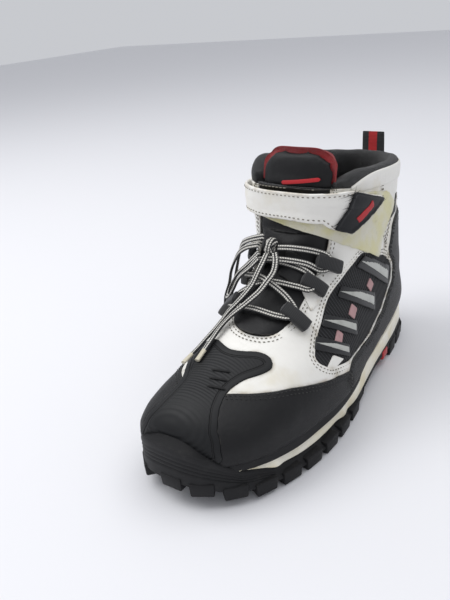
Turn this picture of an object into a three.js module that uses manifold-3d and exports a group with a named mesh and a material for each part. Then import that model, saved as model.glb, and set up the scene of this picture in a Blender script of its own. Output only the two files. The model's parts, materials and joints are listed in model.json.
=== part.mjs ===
// Ankle-high laced riding boot, left foot. Millimetres, +Z up, toe toward -Y, outer side toward +X.
// The origin is on the ground under the middle of the boot.
import * as THREE from 'three';
import { mergeVertices } from 'three/addons/utils/BufferGeometryUtils.js';
import Module from 'manifold-3d';

const wasm = await Module();
wasm.setup();

// Driving dimensions
const bootLength = 304;         // toe bumper to heel, along Y
const bootWidth = 114;          // across the ball of the foot, along X
const upperHeight = 170;        // ground to the front rim of the shaft
const gap = 0.3;                // clearance between touching pieces
const leatherThickness = 1.6;
const rubberRaise = 0.9;        // black covers stand proud of the white leather by this
const meshRecess = 0.7;         // window mesh lies below the leather face by this
const barRaise = 0.9;           // window bars stand proud of the mesh window frame by this
const stiffenerThickness = 1.5; // toe puff, heel stiffener and insole board
const liningThickness = 2.4;
const strapThickness = 2.6;
const loopTapeThickness = 1.2;
const hookTapeThickness = 0.8;
const badgeThickness = 1.8;
const collarRadius = 6.5;
const tongueThickness = 8;
const pullLoopWidth = 20;
const pullLoopHeight = 34;
const pullLoopTape = 1.5;
const laceDiameter = 4.4;
const treadDepth = 5.5;
const heelDepth = 8;
const footbedThickness = 4;

// The outlines below are drawn for a 304 x 114 x 170 boot and stretched to the driving dimensions
const drawnLength = 304;
const drawnWidth = 114;
const drawnHeight = 170;
const along = (y) => y * bootLength / drawnLength;
const across = (x) => x * bootWidth / drawnWidth;
const up = (z) => z * upperHeight / drawnHeight;
const place = ([x, y, z]) => new THREE.Vector3(across(x), along(y), up(z));

// Layers, counted outward from the outer face of the white leather
const leatherIn = -leatherThickness;
const stiffenerOut = leatherIn - gap;
const stiffenerIn = stiffenerOut - stiffenerThickness;
const liningOut = stiffenerIn - gap;
const liningIn = liningOut - liningThickness;
const loopTapeIn = gap;
const loopTapeOut = loopTapeIn + loopTapeThickness;
const hookTapeIn = loopTapeOut + gap;
const hookTapeOut = hookTapeIn + hookTapeThickness;
const strapIn = hookTapeOut + gap;
const strapOut = strapIn + strapThickness;
const badgeIn = strapOut + gap;

const ringCount = 20;
const aroundCount = 24;

// ---------- solids ----------

function toSolid(geometry) {
  const bare = geometry.clone();
  bare.deleteAttribute('normal');
  bare.deleteAttribute('uv');
  const merged = mergeVertices(bare, 1e-4);
  const index = merged.index.array;
  const kept = [];
  for (let i = 0; i < index.length; i += 3) {
    const [a, b, c] = [index[i], index[i + 1], index[i + 2]];
    if (a !== b && b !== c && c !== a) kept.push(a, b, c);
  }
  return new wasm.Manifold(new wasm.Mesh({
    numProp: 3,
    vertProperties: new Float32Array(merged.attributes.position.array),
    triVerts: new Uint32Array(kept),
  }));
}

function indexed(points, faces) {
  const geometry = new THREE.BufferGeometry();
  geometry.setAttribute('position', new THREE.Float32BufferAttribute(points.flat(), 3));
  geometry.setIndex(faces);
  return geometry;
}

function joinAll(solids) {
  return solids.reduce((whole, next) => whole.add(next));
}

// Largest piece of a cut solid, so that a cut leaves no crumbs
function mainPiece(solid) {
  const pieces = solid.decompose();
  return pieces.reduce((best, next) => (next.volume() > best.volume() ? next : best));
}

// Moves each side of a closed outline outward by grow
function grown(points, grow) {
  const count = points.length;
  const area = points.reduce((sum, [x, y], i) => {
    const [nextX, nextY] = points[(i + 1) % count];
    return sum + x * nextY - nextX * y;
  }, 0);
  const side = Math.sign(area);
  return points.map(([x, y], i) => {
    const [px, py] = points[(i + count - 1) % count];
    const [nx, ny] = points[(i + 1) % count];
    const before = new THREE.Vector2(x - px, y - py).normalize();
    const after = new THREE.Vector2(nx - x, ny - y).normalize();
    const normal = new THREE.Vector2(before.y + after.y, -before.x - after.x);
    const length = Math.max(normal.length(), 0.8);
    const reach = 2 * side * grow / (length * length);
    return [x + normal.x * reach, y + normal.y * reach];
  });
}

const plainExtrude = { bevelEnabled: false, curveSegments: 6 };

function outlineShape(points) {
  return new THREE.Shape(points.map(([x, y]) => new THREE.Vector2(x, y)));
}

function prism(points, depth, grow, basis) {
  const shape = outlineShape(grown(points, grow));
  const geometry = new THREE.ExtrudeGeometry(shape, { depth, ...plainExtrude });
  geometry.applyMatrix4(basis);
  return toSolid(geometry);
}

// An outline in (y, z), cut through one side of the boot: side is +1 outer, -1 inner
const farOut = 140;
function sidePrism(points, side, grow = 0, nearest = 0) {
  const sized = points.map(([y, z]) => [along(y), up(z)]);
  const basis = new THREE.Matrix4().makeBasis(
    new THREE.Vector3(0, 1, 0), new THREE.Vector3(0, 0, 1), new THREE.Vector3(1, 0, 0));
  const start = side > 0 ? nearest : -farOut;
  basis.premultiply(new THREE.Matrix4().makeTranslation(start, 0, 0));
  return prism(sized, farOut - nearest, grow, basis);
}

const bothSides = (points, grow) => sidePrism(points, 1, grow).add(sidePrism(points, -1, grow));

// An outline in (x, y), cut straight down
const farUp = 260;
function topPrism(points, grow = 0) {
  const sized = points.map(([x, y]) => [across(x), along(y)]);
  return prism(sized, farUp, grow, new THREE.Matrix4().makeTranslation(0, 0, -20));
}

// An outline in (x, z), cut from front to back between two y values
function frontPrism(points, yFront, yBack, grow = 0) {
  const sized = points.map(([x, z]) => [across(x), up(z)]);
  const basis = new THREE.Matrix4().makeBasis(
    new THREE.Vector3(1, 0, 0), new THREE.Vector3(0, 0, 1), new THREE.Vector3(0, -1, 0));
  basis.premultiply(new THREE.Matrix4().makeTranslation(0, along(yBack), 0));
  return prism(sized, along(yBack) - along(yFront), grow, basis);
}

// Smooth curve through a few (y, z) points, read as a height along the boot
function profile(points) {
  const ys = points.map(([y]) => along(y));
  const zs = points.map(([, z]) => up(z));
  const slope = (i) => {
    const a = Math.max(i - 1, 0);
    const b = Math.min(i + 1, ys.length - 1);
    return (zs[b] - zs[a]) / (ys[b] - ys[a]);
  };
  return (y) => {
    if (y <= ys[0]) return zs[0];
    if (y >= ys.at(-1)) return zs.at(-1);
    const i = ys.findIndex((edge) => edge > y) - 1;
    const span = ys[i + 1] - ys[i];
    const t = (y - ys[i]) / span;
    const rise = zs[i + 1] - zs[i];
    const bend = t * (1 - t) * ((1 - t) * (slope(i) * span - rise) - t * (slope(i + 1) * span - rise));
    return zs[i] + rise * t + bend;
  };
}

// ---------- the form that the upper is shaped on ----------

// Each row: top y, z; bottom y, z; half-widths outer, inner; centre x top, bottom;
// height of the widest point; roundness above and below it
const formRows = [
  [-142, 40, -142, 31, 12, 12, -16, -16, 0.45, 2.0, 3.0],
  [-140, 49, -141, 29, 25, 24, -15, -15, 0.40, 2.0, 3.6],
  [-133, 57, -136, 28, 36, 33, -13, -13, 0.36, 2.0, 4.4],
  [-121, 64, -125, 27, 44, 39, -11, -11, 0.32, 2.0, 5.2],
  [-104, 70, -107, 26, 50, 43, -9, -8, 0.30, 2.0, 6.0],
  [-86, 77, -88, 25, 53, 45, -7, -5, 0.28, 1.95, 6.0],
  [-67, 86, -68, 25, 54, 46, -6, -2, 0.26, 1.9, 6.0],
  [-50, 96, -42, 24, 54, 47, -5, 1, 0.25, 1.85, 6.0],
  [-36, 105, -12, 23, 53, 46, -4, 2, 0.27, 1.85, 6.0],
  [-25, 114, 22, 24, 50, 45, -3, 1, 0.30, 1.9, 6.0],
  [-17, 122, 62, 25, 48, 45, -3, -1, 0.33, 2.1, 6.0],
  [-11, 129, 105, 26, 46, 46, -3, -3, 0.36, 2.4, 5.0],
  [-7, 136, 138, 32, 45, 47, -3, -4, 0.40, 2.7, 3.6],
  [-5, 142, 148, 52, 44, 48, -3, -4, 0.44, 2.9, 2.4],
  [-4, 148, 148, 76, 43, 48, -3, -3, 0.46, 3.0, 2.3],
  [-3, 154, 145, 103, 43, 48, -3, -3, 0.48, 3.0, 2.3],
  [-3, 160, 142, 125, 43, 48, -3, -3, 0.50, 3.0, 2.3],
  [-3, 165, 142, 140, 43, 48, -3, -3, 0.50, 3.0, 2.3],
  [-3, 170, 144, 152, 43, 48, -3, -3, 0.50, 3.0, 2.3],
];
const curveThrough = (pick) => new THREE.CatmullRomCurve3(formRows.map(pick));
const topCurve = curveThrough((r) => place([r[6], r[0], r[1]]));
const bottomCurve = curveThrough((r) => place([r[7], r[2], r[3]]));
const widthCurve = curveThrough((r) => new THREE.Vector3(across(r[4]), across(r[5]), r[8]));
const roundCurve = curveThrough((r) => new THREE.Vector3(r[9], r[10], 0));

// One closed ring of the form at t (0 toe, 1 rim)
function formRing(t) {
  const top = topCurve.getPoint(t);
  const bottom = bottomCurve.getPoint(t);
  const width = widthCurve.getPoint(t);
  const round = roundCurve.getPoint(t);
  return Array.from({ length: aroundCount }, (_, k) => {
    const angle = 2 * Math.PI * k / aroundCount;
    const c = Math.cos(angle);
    const s = Math.sin(angle);
    const power = 2 / (c >= 0 ? round.x : round.y);
    const side = Math.sign(s) * Math.abs(s) ** power;
    const rise = Math.abs(c) ** power;
    const height = c >= 0 ? width.z + (1 - width.z) * rise : width.z * (1 - rise);
    const point = bottom.clone().lerp(top, height);
    point.x += side * (side >= 0 ? width.x : width.y);
    return point;
  });
}

const form = Array.from({ length: ringCount }, (_, i) => formRing(i / (ringCount - 1)));
const toeNormal = new THREE.Vector3(0, -1, 0);

// Outward direction at each point of the form, from the lines through its neighbours
const formNormals = form.map((ring, i) => ring.map((point, k) => {
  const before = form[Math.max(i - 1, 0)][k];
  const after = form[Math.min(i + 1, ringCount - 1)][k];
  const left = ring[(k + aroundCount - 1) % aroundCount];
  const right = ring[(k + 1) % aroundCount];
  const normal = right.clone().sub(left).cross(after.clone().sub(before)).normalize();
  return i === 0 ? normal.add(toeNormal).normalize() : normal;
}));

function formRings(offset) {
  return form.map((ring, i) => ring.map((point, k) => {
    const moved = point.clone().addScaledVector(formNormals[i][k], offset);
    return moved.toArray();
  }));
}

function ringCentre(ring) {
  return [0, 1, 2].map((axis) => ring.reduce((sum, p) => sum + p[axis], 0) / ring.length);
}

// Skin of quads over rings; faces point out when the rings run toe to rim
function skin(faces, start, rings, outward) {
  for (let i = 0; i < rings - 1; i++) {
    for (let k = 0; k < aroundCount; k++) {
      const a = start + i * aroundCount + k;
      const b = start + i * aroundCount + (k + 1) % aroundCount;
      const c = a + aroundCount;
      const d = b + aroundCount;
      if (outward) faces.push(a, b, c, b, d, c);
      else faces.push(a, c, b, b, c, d);
    }
  }
}

function fan(faces, start, centre, outward) {
  for (let k = 0; k < aroundCount; k++) {
    const a = start + k;
    const b = start + (k + 1) % aroundCount;
    if (outward) faces.push(centre, b, a);
    else faces.push(centre, a, b);
  }
}

// Wall of the form between two offsets, open at the rim
function cup(inside, outside) {
  const outer = formRings(outside);
  const inner = formRings(inside);
  const points = [...outer.flat(), ...inner.flat(), ringCentre(outer[0]), ringCentre(inner[0])];
  const innerStart = ringCount * aroundCount;
  const faces = [];
  skin(faces, 0, ringCount, true);
  skin(faces, innerStart, ringCount, false);
  fan(faces, 0, 2 * innerStart, true);
  fan(faces, innerStart, 2 * innerStart + 1, false);
  const rim = (ringCount - 1) * aroundCount;
  for (let k = 0; k < aroundCount; k++) {
    const a = rim + k;
    const b = rim + (k + 1) % aroundCount;
    faces.push(a, b, innerStart + a, b, innerStart + b, innerStart + a);
  }
  return toSolid(indexed(points, faces));
}

// The form as one full body, grown by offset
function fullForm(offset) {
  const rings = formRings(offset);
  const last = (ringCount - 1) * aroundCount;
  const points = [...rings.flat(), ringCentre(rings[0]), ringCentre(rings.at(-1))];
  const faces = [];
  skin(faces, 0, ringCount, true);
  fan(faces, 0, points.length - 2, true);
  fan(faces, last, points.length - 1, false);
  return toSolid(indexed(points, faces));
}

// ---------- sole plan ----------

const soleOuter = [[-15, -152], [0, -151], [13, -146], [35, -125], [47, -98], [54, -69], [56, -41],
  [54, -12], [50, 16], [46, 44], [44, 73], [41, 102], [34, 130], [15, 148], [-5, 152]];
const soleInner = [[-15, -152], [-28, -150], [-41, -142], [-54, -119], [-58, -91], [-56, -62], [-49, -34],
  [-43, -7], [-40, 22], [-40, 50], [-44, 78], [-46, 107], [-41, 135], [-24, 149], [-5, 152]];
const planCurve = (points) => new THREE.CatmullRomCurve3(points.map(([x, y]) => place([x, y, 0])));
const outerPlan = planCurve(soleOuter);
const innerPlan = planCurve(soleInner);
const soleRows = 22;
const soleColumns = 3;

// Closed body over the sole plan, between two height profiles, drawn in by inset all round
function slab(inset, low, high) {
  const scaleX = 1 - inset / (bootWidth / 2);
  const scaleY = 1 - inset / (bootLength / 2);
  const points = [];
  for (const height of [low, high]) {
    for (let i = 0; i <= soleRows; i++) {
      const t = i / soleRows;
      const a = innerPlan.getPointAt(t);
      const b = outerPlan.getPointAt(t);
      for (let k = 0; k <= soleColumns; k++) {
        const p = a.clone().lerp(b, k / soleColumns);
        points.push([p.x * scaleX, p.y * scaleY, height(p.y * scaleY)]);
      }
    }
  }
  const stride = soleColumns + 1;
  const layer = (soleRows + 1) * stride;
  const faces = [];
  const quad = (a, b, c, d) => faces.push(a, b, c, a, c, d);
  for (let i = 0; i < soleRows; i++) {
    for (let k = 0; k < soleColumns; k++) {
      const a = i * stride + k;
      quad(a, a + stride, a + stride + 1, a + 1);
      quad(layer + a, layer + a + 1, layer + a + stride + 1, layer + a + stride);
    }
    const inner = i * stride;
    const outer = inner + soleColumns;
    quad(inner, layer + inner, layer + inner + stride, inner + stride);
    quad(outer, outer + stride, layer + outer + stride, layer + outer);
  }
  return toSolid(indexed(points, faces));
}

const level = (z) => () => z;
const shifted = (curve, by) => (y) => curve(y) + by;

// ---------- parts list ----------

const boot = new THREE.Group();

function add(name, solid, color, roughness, metalness = 0) {
  const mesh = solid.getMesh();
  const geometry = new THREE.BufferGeometry();
  geometry.setAttribute('position', new THREE.BufferAttribute(mesh.vertProperties, 3));
  geometry.setIndex(new THREE.BufferAttribute(mesh.triVerts, 1));
  geometry.computeVertexNormals();
  const part = new THREE.Mesh(geometry, new THREE.MeshStandardMaterial({ color, roughness, metalness }));
  part.name = name;
  boot.add(part);
}

const whiteLeather = 0xe6e4dc;
const blackRubber = 0x1d1d1f;
const blackFabric = 0x141416;
const creamTape = 0xd8d2b4;
const signalRed = 0xb3161c;

// ---------- sole unit ----------

const toeSpring = profile([[-152, 13], [-138, 7], [-120, 3], [-100, 0.8], [-78, 0], [152, 0]]);
const groundLine = (y) => Math.max(toeSpring(y), 0);
const bandLow = profile([[-132, 24], [-98, 14], [-50, 11], [-10, 11], [40, 15], [85, 17], [152, 18]]);
const bandHigh = profile([[-132, 29], [-98, 26], [-50, 23], [-10, 26], [40, 29], [85, 31], [118, 33],
  [152, 35]]);
const bumperTop = profile([[-152, 46], [-141, 36], [-132, 28], [152, 28]]);
const bandFront = -131;
const waistUnder = treadDepth + 4;   // roof of the hollow under the waist
const breastFront = 12;   // front end of the hollow under the waist
const breastBack = 80;    // back end of it, where the heel starts

const upperRoom = fullForm(rubberRaise + gap);
const bandRaise = 0.8;    // the pale band stands out from the sole wall by this
const aheadOf = (y) => [[-170, -20], [y, -20], [y, 80], [-170, 80]];
const bandSpace = (grow) => slab(-bandRaise, shifted(bandLow, -grow), shifted(bandHigh, grow))
  .subtract(bothSides(aheadOf(bandFront - grow)));

function treadGroove([x, y], turn) {
  const box = new THREE.BoxGeometry(across(44), along(6), 2 * heelDepth);
  box.rotateZ(turn);
  box.translate(across(x), along(y), 0);
  return box;
}

function makeOutsole() {
  const deck = (y) => groundLine(y) + (y > along(breastBack) ? heelDepth : treadDepth);
  const sideTop = (y) => (y < along(bandFront) ? bumperTop(y) : bandLow(y) - gap);
  const block = slab(0, deck, sideTop);
  const hollow = topPrism([[-70, breastFront], [70, breastFront], [70, breastBack], [-70, breastBack]])
    .intersect(slab(-20, level(-1), level(waistUnder)));
  let tread = slab(0, groundLine, shifted(deck, 0.4));
  const cuts = [];
  for (const side of [-1, 1]) {
    for (const y of [-118, -94, -70, -46, -22]) cuts.push(treadGroove([side * 44, y], side * 0.35));
    for (const y of [100, 122]) cuts.push(treadGroove([side * 36, y], side * -0.2));
  }
  for (const y of [-132, -106, -82, -58, -34, -10, 111]) cuts.push(treadGroove([-4, y], 0));
  const grooves = joinAll(cuts.map(toSolid));
  tread = tread.subtract(grooves.intersect(slab(-20, level(-10), deck)));
  return mainPiece(block.add(tread).subtract(hollow).subtract(bandSpace(gap)).subtract(upperRoom));
}

add('outsole', makeOutsole(), 0x202123, 0.75);
add('midsole', mainPiece(bandSpace(0).subtract(upperRoom)), 0xe2dcc4, 0.6);

const shankThickness = 2.4;
const shankTop = waistUnder - gap;
const shankShape = [[-20, 16], [20, 16], [24, 76], [-24, 76]];
add('shank_plate',
  slab(0, level(shankTop - shankThickness), level(shankTop)).intersect(topPrism(shankShape)),
  signalRed, 0.5);

// ---------- inside ----------

add('lining', cup(liningIn, liningOut), 0x1a1a1c, 0.95);

const reinforcing = cup(stiffenerIn, stiffenerOut);
const toePuffEdge = [[-80, -170], [60, -170], [60, -98], [30, -88], [-8, -84], [-44, -88], [-80, -98]];
const boardEdge = [[-44, -100], [-40, -118], [-24, -132], [-8, -134], [12, -128], [28, -112], [38, -84],
  [40, -40], [34, 20], [32, 90], [24, 124], [-4, 134], [-30, 124], [-34, 90], [-32, 20], [-38, -40]];
const floorRows = formRows.filter((row, i) => i < 14);
const footFloor = profile(floorRows.map((row) => [row[2], row[3]]));   // underside of the form
const boardRise = 7;   // the board follows the foot floor, up to this height above it
const boardSpace = (grow) => topPrism(boardEdge, grow)
  .intersect(slab(-20, level(-10), shifted(footFloor, boardRise)));
add('toe_puff',
  mainPiece(reinforcing.intersect(topPrism(toePuffEdge)).subtract(boardSpace(gap))), 0x8d8f92, 0.6);
add('insole_board', mainPiece(reinforcing.intersect(boardSpace(0))), 0x9b8a6a, 0.9);
const heelStiffener = [[86, 28], [160, 28], [160, 98], [118, 98], [92, 76]];
add('heel_stiffener',
  mainPiece(reinforcing.intersect(bothSides(heelStiffener)).subtract(boardSpace(gap))), 0x6f6a60, 0.7);

add('footbed',
  mainPiece(fullForm(liningIn - gap)
    .intersect(slab(-20, level(0), shifted(footFloor, -liningIn + gap + footbedThickness)))),
  0x3a3a3d, 0.9);

// ---------- upper ----------

const throat = [[-29, 30], [-29, 8], [-27, -16], [-24, -36], [-21, -52], [-14, -63], [-3, -67],
  [9, -65], [18, -58], [22, -44], [23, -22], [25, -4], [27, 8], [27, 30]];
const toeCap = [[-60, -170], [-44, -150], [-36, -134], [-28, -121], [-26, -110], [-33, -96], [-39, -86],
  [-39, -78], [-31, -73], [-21, -74], [-12, -79], [-5, -81], [4, -79], [14, -74], [22, -73],
  [26, -78], [22, -86], [14, -96], [9, -108], [11, -121], [18, -134], [26, -150], [40, -170]];
const mudguard = [[-170, -10], [-170, 90], [-122, 68], [-103, 65], [-78, 61], [-50, 53], [-26, 46],
  [-34, 40], [-52, 30], [-60, 20], [-60, -10]];
const sideWindow = [[-52, 68], [-42, 58], [-16, 52], [24, 50], [62, 57], [86, 70], [91, 84], [76, 97],
  [36, 115], [6, 103], [-8, 98], [-25, 87]];
const heelPanel = [[-22, -10], [-30, 42], [-22, 46], [-15, 51.4], [24, 49], [62, 56], [87, 69.6], [93, 84],
  [80, 98], [92, 122], [110, 130], [130, 108], [170, 100], [170, -10]];
const ankleFront = [[74, 98.6], [86, 128], [108, 138], [130, 118], [170, 110], [170, 180], [60, 180]];

const leather = cup(leatherIn, 0);
const coverLayer = cup(leatherIn, rubberRaise);
const half = gap / 2;
const coreRoom = slab(12, level(-10), shifted(footFloor, 5));
const throatCut = topPrism(throat, half);
const besideCap = [[-90, 0], [30, 0], [30, 58], [-90, 58]];   // the cap stays above and ahead of this
const capRoom = (grow) => topPrism(toeCap, grow).subtract(bothSides(besideCap));
const capCut = capRoom(half);
const guardCut = bothSides(mudguard, half);
const windowCut = bothSides(sideWindow, half);
const heelCut = bothSides(heelPanel, half);
const ankleCut = bothSides(ankleFront, half);

add('toe_cap', mainPiece(coverLayer.intersect(capRoom(-half)).subtract(coreRoom)), blackRubber, 0.65);

const sides = [['lateral', 1], ['medial', -1]];
for (const [name, side] of sides) {
  add(`mudguard_${name}`,
    mainPiece(coverLayer.intersect(sidePrism(mudguard, side, -half)).subtract(capCut).subtract(coreRoom)),
    blackRubber, 0.6);
}

const white = leather.subtract(throatCut).subtract(capCut).subtract(guardCut).subtract(windowCut)
  .subtract(heelCut).subtract(ankleCut).subtract(coreRoom);
const vampBack = -36;   // seam between vamp and quarters, beside the throat
const vampSpace = [[-70, -170], [-70, vampBack], [70, vampBack], [70, -170]];
add('vamp', mainPiece(white.intersect(topPrism(vampSpace, -half))), whiteLeather, 0.55);
for (const [name, side] of sides) {
  const quarterSpace = [[side, 40], [side, vampBack], [side * 80, vampBack], [side * 80, 170], [side, 170]];
  add(`quarter_${name}`, mainPiece(white.intersect(topPrism(quarterSpace, -half))), whiteLeather, 0.55);
  add(`window_mesh_${name}`,
    mainPiece(cup(leatherIn, -meshRecess).intersect(sidePrism(sideWindow, side, -half)).subtract(throatCut)),
    blackFabric, 0.95);
}

const windowBars = [
  [[-46, 73], [-38, 79], [-12, 62], [-16, 55]],
  [[-30, 83], [-22, 88], [8, 71], [3, 62]],
  [[-4, 94], [4, 99], [48, 76], [43, 63]],
  [[26, 106], [38, 111], [82, 86], [78, 70]],
];
const barLayer = cup(-meshRecess + gap, -meshRecess + gap + barRaise);
for (const [name, side] of sides) {
  const inWindow = barLayer.intersect(sidePrism(sideWindow, side, -gap));
  windowBars.forEach((bar, i) => {
    add(`window_bar_${name}_${i + 1}`, mainPiece(inWindow.intersect(sidePrism(bar, side))), blackRubber, 0.5);
  });
}

add('heel_panel',
  mainPiece(coverLayer.intersect(bothSides(heelPanel, -half)).subtract(guardCut).subtract(windowCut)
    .subtract(coreRoom)),
  blackRubber, 0.6);
const ankleLayer = leather.subtract(heelCut).subtract(windowCut);
add('ankle_panel', mainPiece(ankleLayer.intersect(bothSides(ankleFront, -half))), whiteLeather, 0.55);

const guardIn = rubberRaise + gap;
const guardThickness = 3;
const guardOutline = [[-22, 82], [16, 82], [19, 92], [16, 124], [-22, 124], [-25, 92]];
add('heel_guard',
  cup(guardIn, guardIn + guardThickness).intersect(frontPrism(guardOutline, 90, 170)), 0x4a4b4e, 0.55);

// ---------- tongue, straps, collar ----------

add('tongue', mainPiece(leather.intersect(topPrism(throat, -half))), blackRubber, 0.7);

const tongueWidth = across(60);
const tongueRise = up(23);
const tongueLean = 0.6;
const tongueFoot = upperHeight + 2.3;   // clears the strap edge when the tongue tilts
const tongueBack = new THREE.Matrix4().makeRotationX(-tongueLean)
  .premultiply(new THREE.Matrix4().makeTranslation(across(-2), along(8), tongueFoot));
const tongueLiningThickness = 1.6;
function tongueSlab(thickness, forward, trim) {
  const w = tongueWidth / 2 - trim;
  const h = tongueRise - trim;
  const shape = new THREE.Shape();
  const corner = h * 0.5;
  shape.moveTo(-w, 0);
  shape.lineTo(w, 0);
  shape.lineTo(w, h - corner);
  shape.absarc(w - corner, h - corner, corner, 0, Math.PI / 2, false);
  shape.absarc(-w + corner, h - corner, corner, Math.PI / 2, Math.PI, false);
  const geometry = new THREE.ExtrudeGeometry(shape, { depth: thickness, ...plainExtrude });
  geometry.rotateX(Math.PI / 2);
  geometry.translate(0, forward, 0);
  geometry.applyMatrix4(tongueBack);
  return toSolid(geometry);
}
add('tongue_top', tongueSlab(tongueThickness, 0, 0), blackRubber, 0.6);
add('tongue_lining',
  tongueSlab(tongueLiningThickness, tongueLiningThickness + gap, 2), signalRed, 0.9);

// The keeper is a flat webbing tab on the tongue, under the upper lace crossing
const keeper = [[0, -26], [17, -26], [18, -12], [1, -12]];
const keeperThickness = 1.4;
add('lace_keeper',
  mainPiece(cup(gap, gap + keeperThickness).intersect(topPrism(keeper))), blackFabric, 0.9);

// Loop tape: fixed on the outer side, it runs under the strap and over the tongue
const loopTape = [[-30, 144], [-5, 142], [13, 127], [60, 102], [69, 119], [93, 137], [76, 149],
  [50, 157], [-30, 166]];
const tapeInner = [[-30, 148], [6, 148], [6, 166], [-30, 166]];
const strapRoot = 28;       // front edge of the sewn end of the strap, inner side
const strapLine = [[-30, 148], [-4, 146], [6, 141], [17, 135], [57, 151], [18, 167], [-30, 168.5]];
const strapInnerLine = [[-30, 148], [strapRoot, 142], [strapRoot, 164.5], [-30, 168.5]];
const anchorLine = [[strapRoot + 1, 142], [66, 138], [66, 158], [strapRoot + 1, 164.3]];
add('loop_tape',
  mainPiece(cup(loopTapeIn, loopTapeOut).intersect(sidePrism(loopTape, 1).add(sidePrism(tapeInner, -1)))),
  creamTape, 0.95);
const strapLayer = cup(strapIn, strapOut);
add('strap_anchor', mainPiece(strapLayer.intersect(sidePrism(anchorLine, -1))), whiteLeather, 0.55);
add('strap',
  mainPiece(strapLayer.intersect(sidePrism(strapLine, 1).add(sidePrism(strapInnerLine, -1)))),
  whiteLeather, 0.55);
const hookPatch = [[4, 146], [17, 139], [46, 151], [20, 162], [4, 163]];
add('hook_patch', mainPiece(cup(hookTapeIn, hookTapeOut).intersect(sidePrism(hookPatch, 1))), 0xc9c4ae, 0.95);
const badge = [[7, 142.5], [17, 136.5], [54, 151], [19, 165.5]];
add('strap_badge', mainPiece(cup(badgeIn, badgeIn + badgeThickness).intersect(sidePrism(badge, 1))),
  blackRubber, 0.5);

// Padded roll round the rim, open at the front for the tongue
function roundTube(points, diameter, sides, steps) {
  const circle = new THREE.Shape(Array.from({ length: sides }, (_, i) => {
    const angle = 2 * Math.PI * i / sides;
    return new THREE.Vector2(Math.cos(angle), Math.sin(angle)).multiplyScalar(diameter / 2);
  }));
  const extrudePath = new THREE.CatmullRomCurve3(points);
  return toSolid(new THREE.ExtrudeGeometry(circle, { extrudePath, steps, bevelEnabled: false }));
}
const rim = formRings(liningIn / 2).at(-1);
const innerHump = 2;   // the roll stands higher on the inner side
const rollFrom = 4;
const rollPath = [];
for (let k = rollFrom; k <= aroundCount - rollFrom; k++) {
  const [x, y, z] = rim[k];
  rollPath.push(new THREE.Vector3(x, y, z + collarRadius + gap + (k > aroundCount / 2 ? innerHump : 0)));
}
add('collar_roll', roundTube(rollPath, 2 * collarRadius, 10, 30), blackFabric, 0.95);

// Webbing pull loop, sewn flat at the back and standing above the rim
const rollBack = Math.max(...rollPath.map((p) => p.y)) + collarRadius;
const loopBase = up(146);
function makePullLoop() {
  const inside = 1.4;
  const outer = inside / 2 + pullLoopTape;
  const arch = new THREE.Shape();
  arch.moveTo(-outer, 0);
  arch.lineTo(-inside / 2, 0);
  arch.lineTo(-inside / 2, pullLoopHeight - outer);
  arch.absarc(0, pullLoopHeight - outer, inside / 2, Math.PI, 0, true);
  arch.lineTo(inside / 2, 0);
  arch.lineTo(outer, 0);
  arch.lineTo(outer, pullLoopHeight - outer);
  arch.absarc(0, pullLoopHeight - outer, outer, 0, Math.PI, false);
  const geometry = new THREE.ExtrudeGeometry(arch, { depth: pullLoopWidth, ...plainExtrude });
  const basis = new THREE.Matrix4().makeBasis(
    new THREE.Vector3(0, 1, 0), new THREE.Vector3(0, 0, 1), new THREE.Vector3(1, 0, 0));
  geometry.applyMatrix4(basis);
  geometry.translate(across(-3) - pullLoopWidth / 2, rollBack + gap + outer, loopBase);
  return toSolid(geometry);
}
add('pull_loop', makePullLoop(), blackFabric, 0.9);

// ---------- lacing ----------

const cord = (points, steps) => roundTube(points.map(place), laceDiameter, 8, steps);

// One lace, threaded from knot to knot: crossed twice, straight across at the bottom
const lacePath = [
  [-18, -16.5, 131.5], [-26, -11.5, 128.5], [-34, -5, 123], [-36, -4, 116.5], [-31, -9.5, 114],
  [-22, -16, 117.5], [-3, -22.5, 122.5], [17, -19, 118], [24.5, -17.5, 112.5], [27.5, -20, 108.5],
  [25, -25, 106.5], [17.5, -29, 109], [-3.5, -35, 111.5], [-22.5, -39, 102], [-29, -44, 95.5],
  [-28, -47.5, 95], [-18.5, -52, 97], [-2, -54, 99], [14.5, -51.5, 96], [22, -48, 95],
  [24, -43, 96.5], [15.5, -39, 104.5], [-3.5, -38.5, 115.5], [-23.5, -27, 110], [-30.5, -20, 107],
  [-32, -16, 108], [-24, -19, 117], [-3, -27, 125.5], [18.5, -16.5, 121.5], [27, -10, 115.5],
  [31.5, -4.5, 117], [29.5, -3.5, 123.5], [21.5, -9, 128.5], [6, -17.5, 132],
];
add('lace', cord(lacePath, 70), blackFabric, 0.8);

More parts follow.
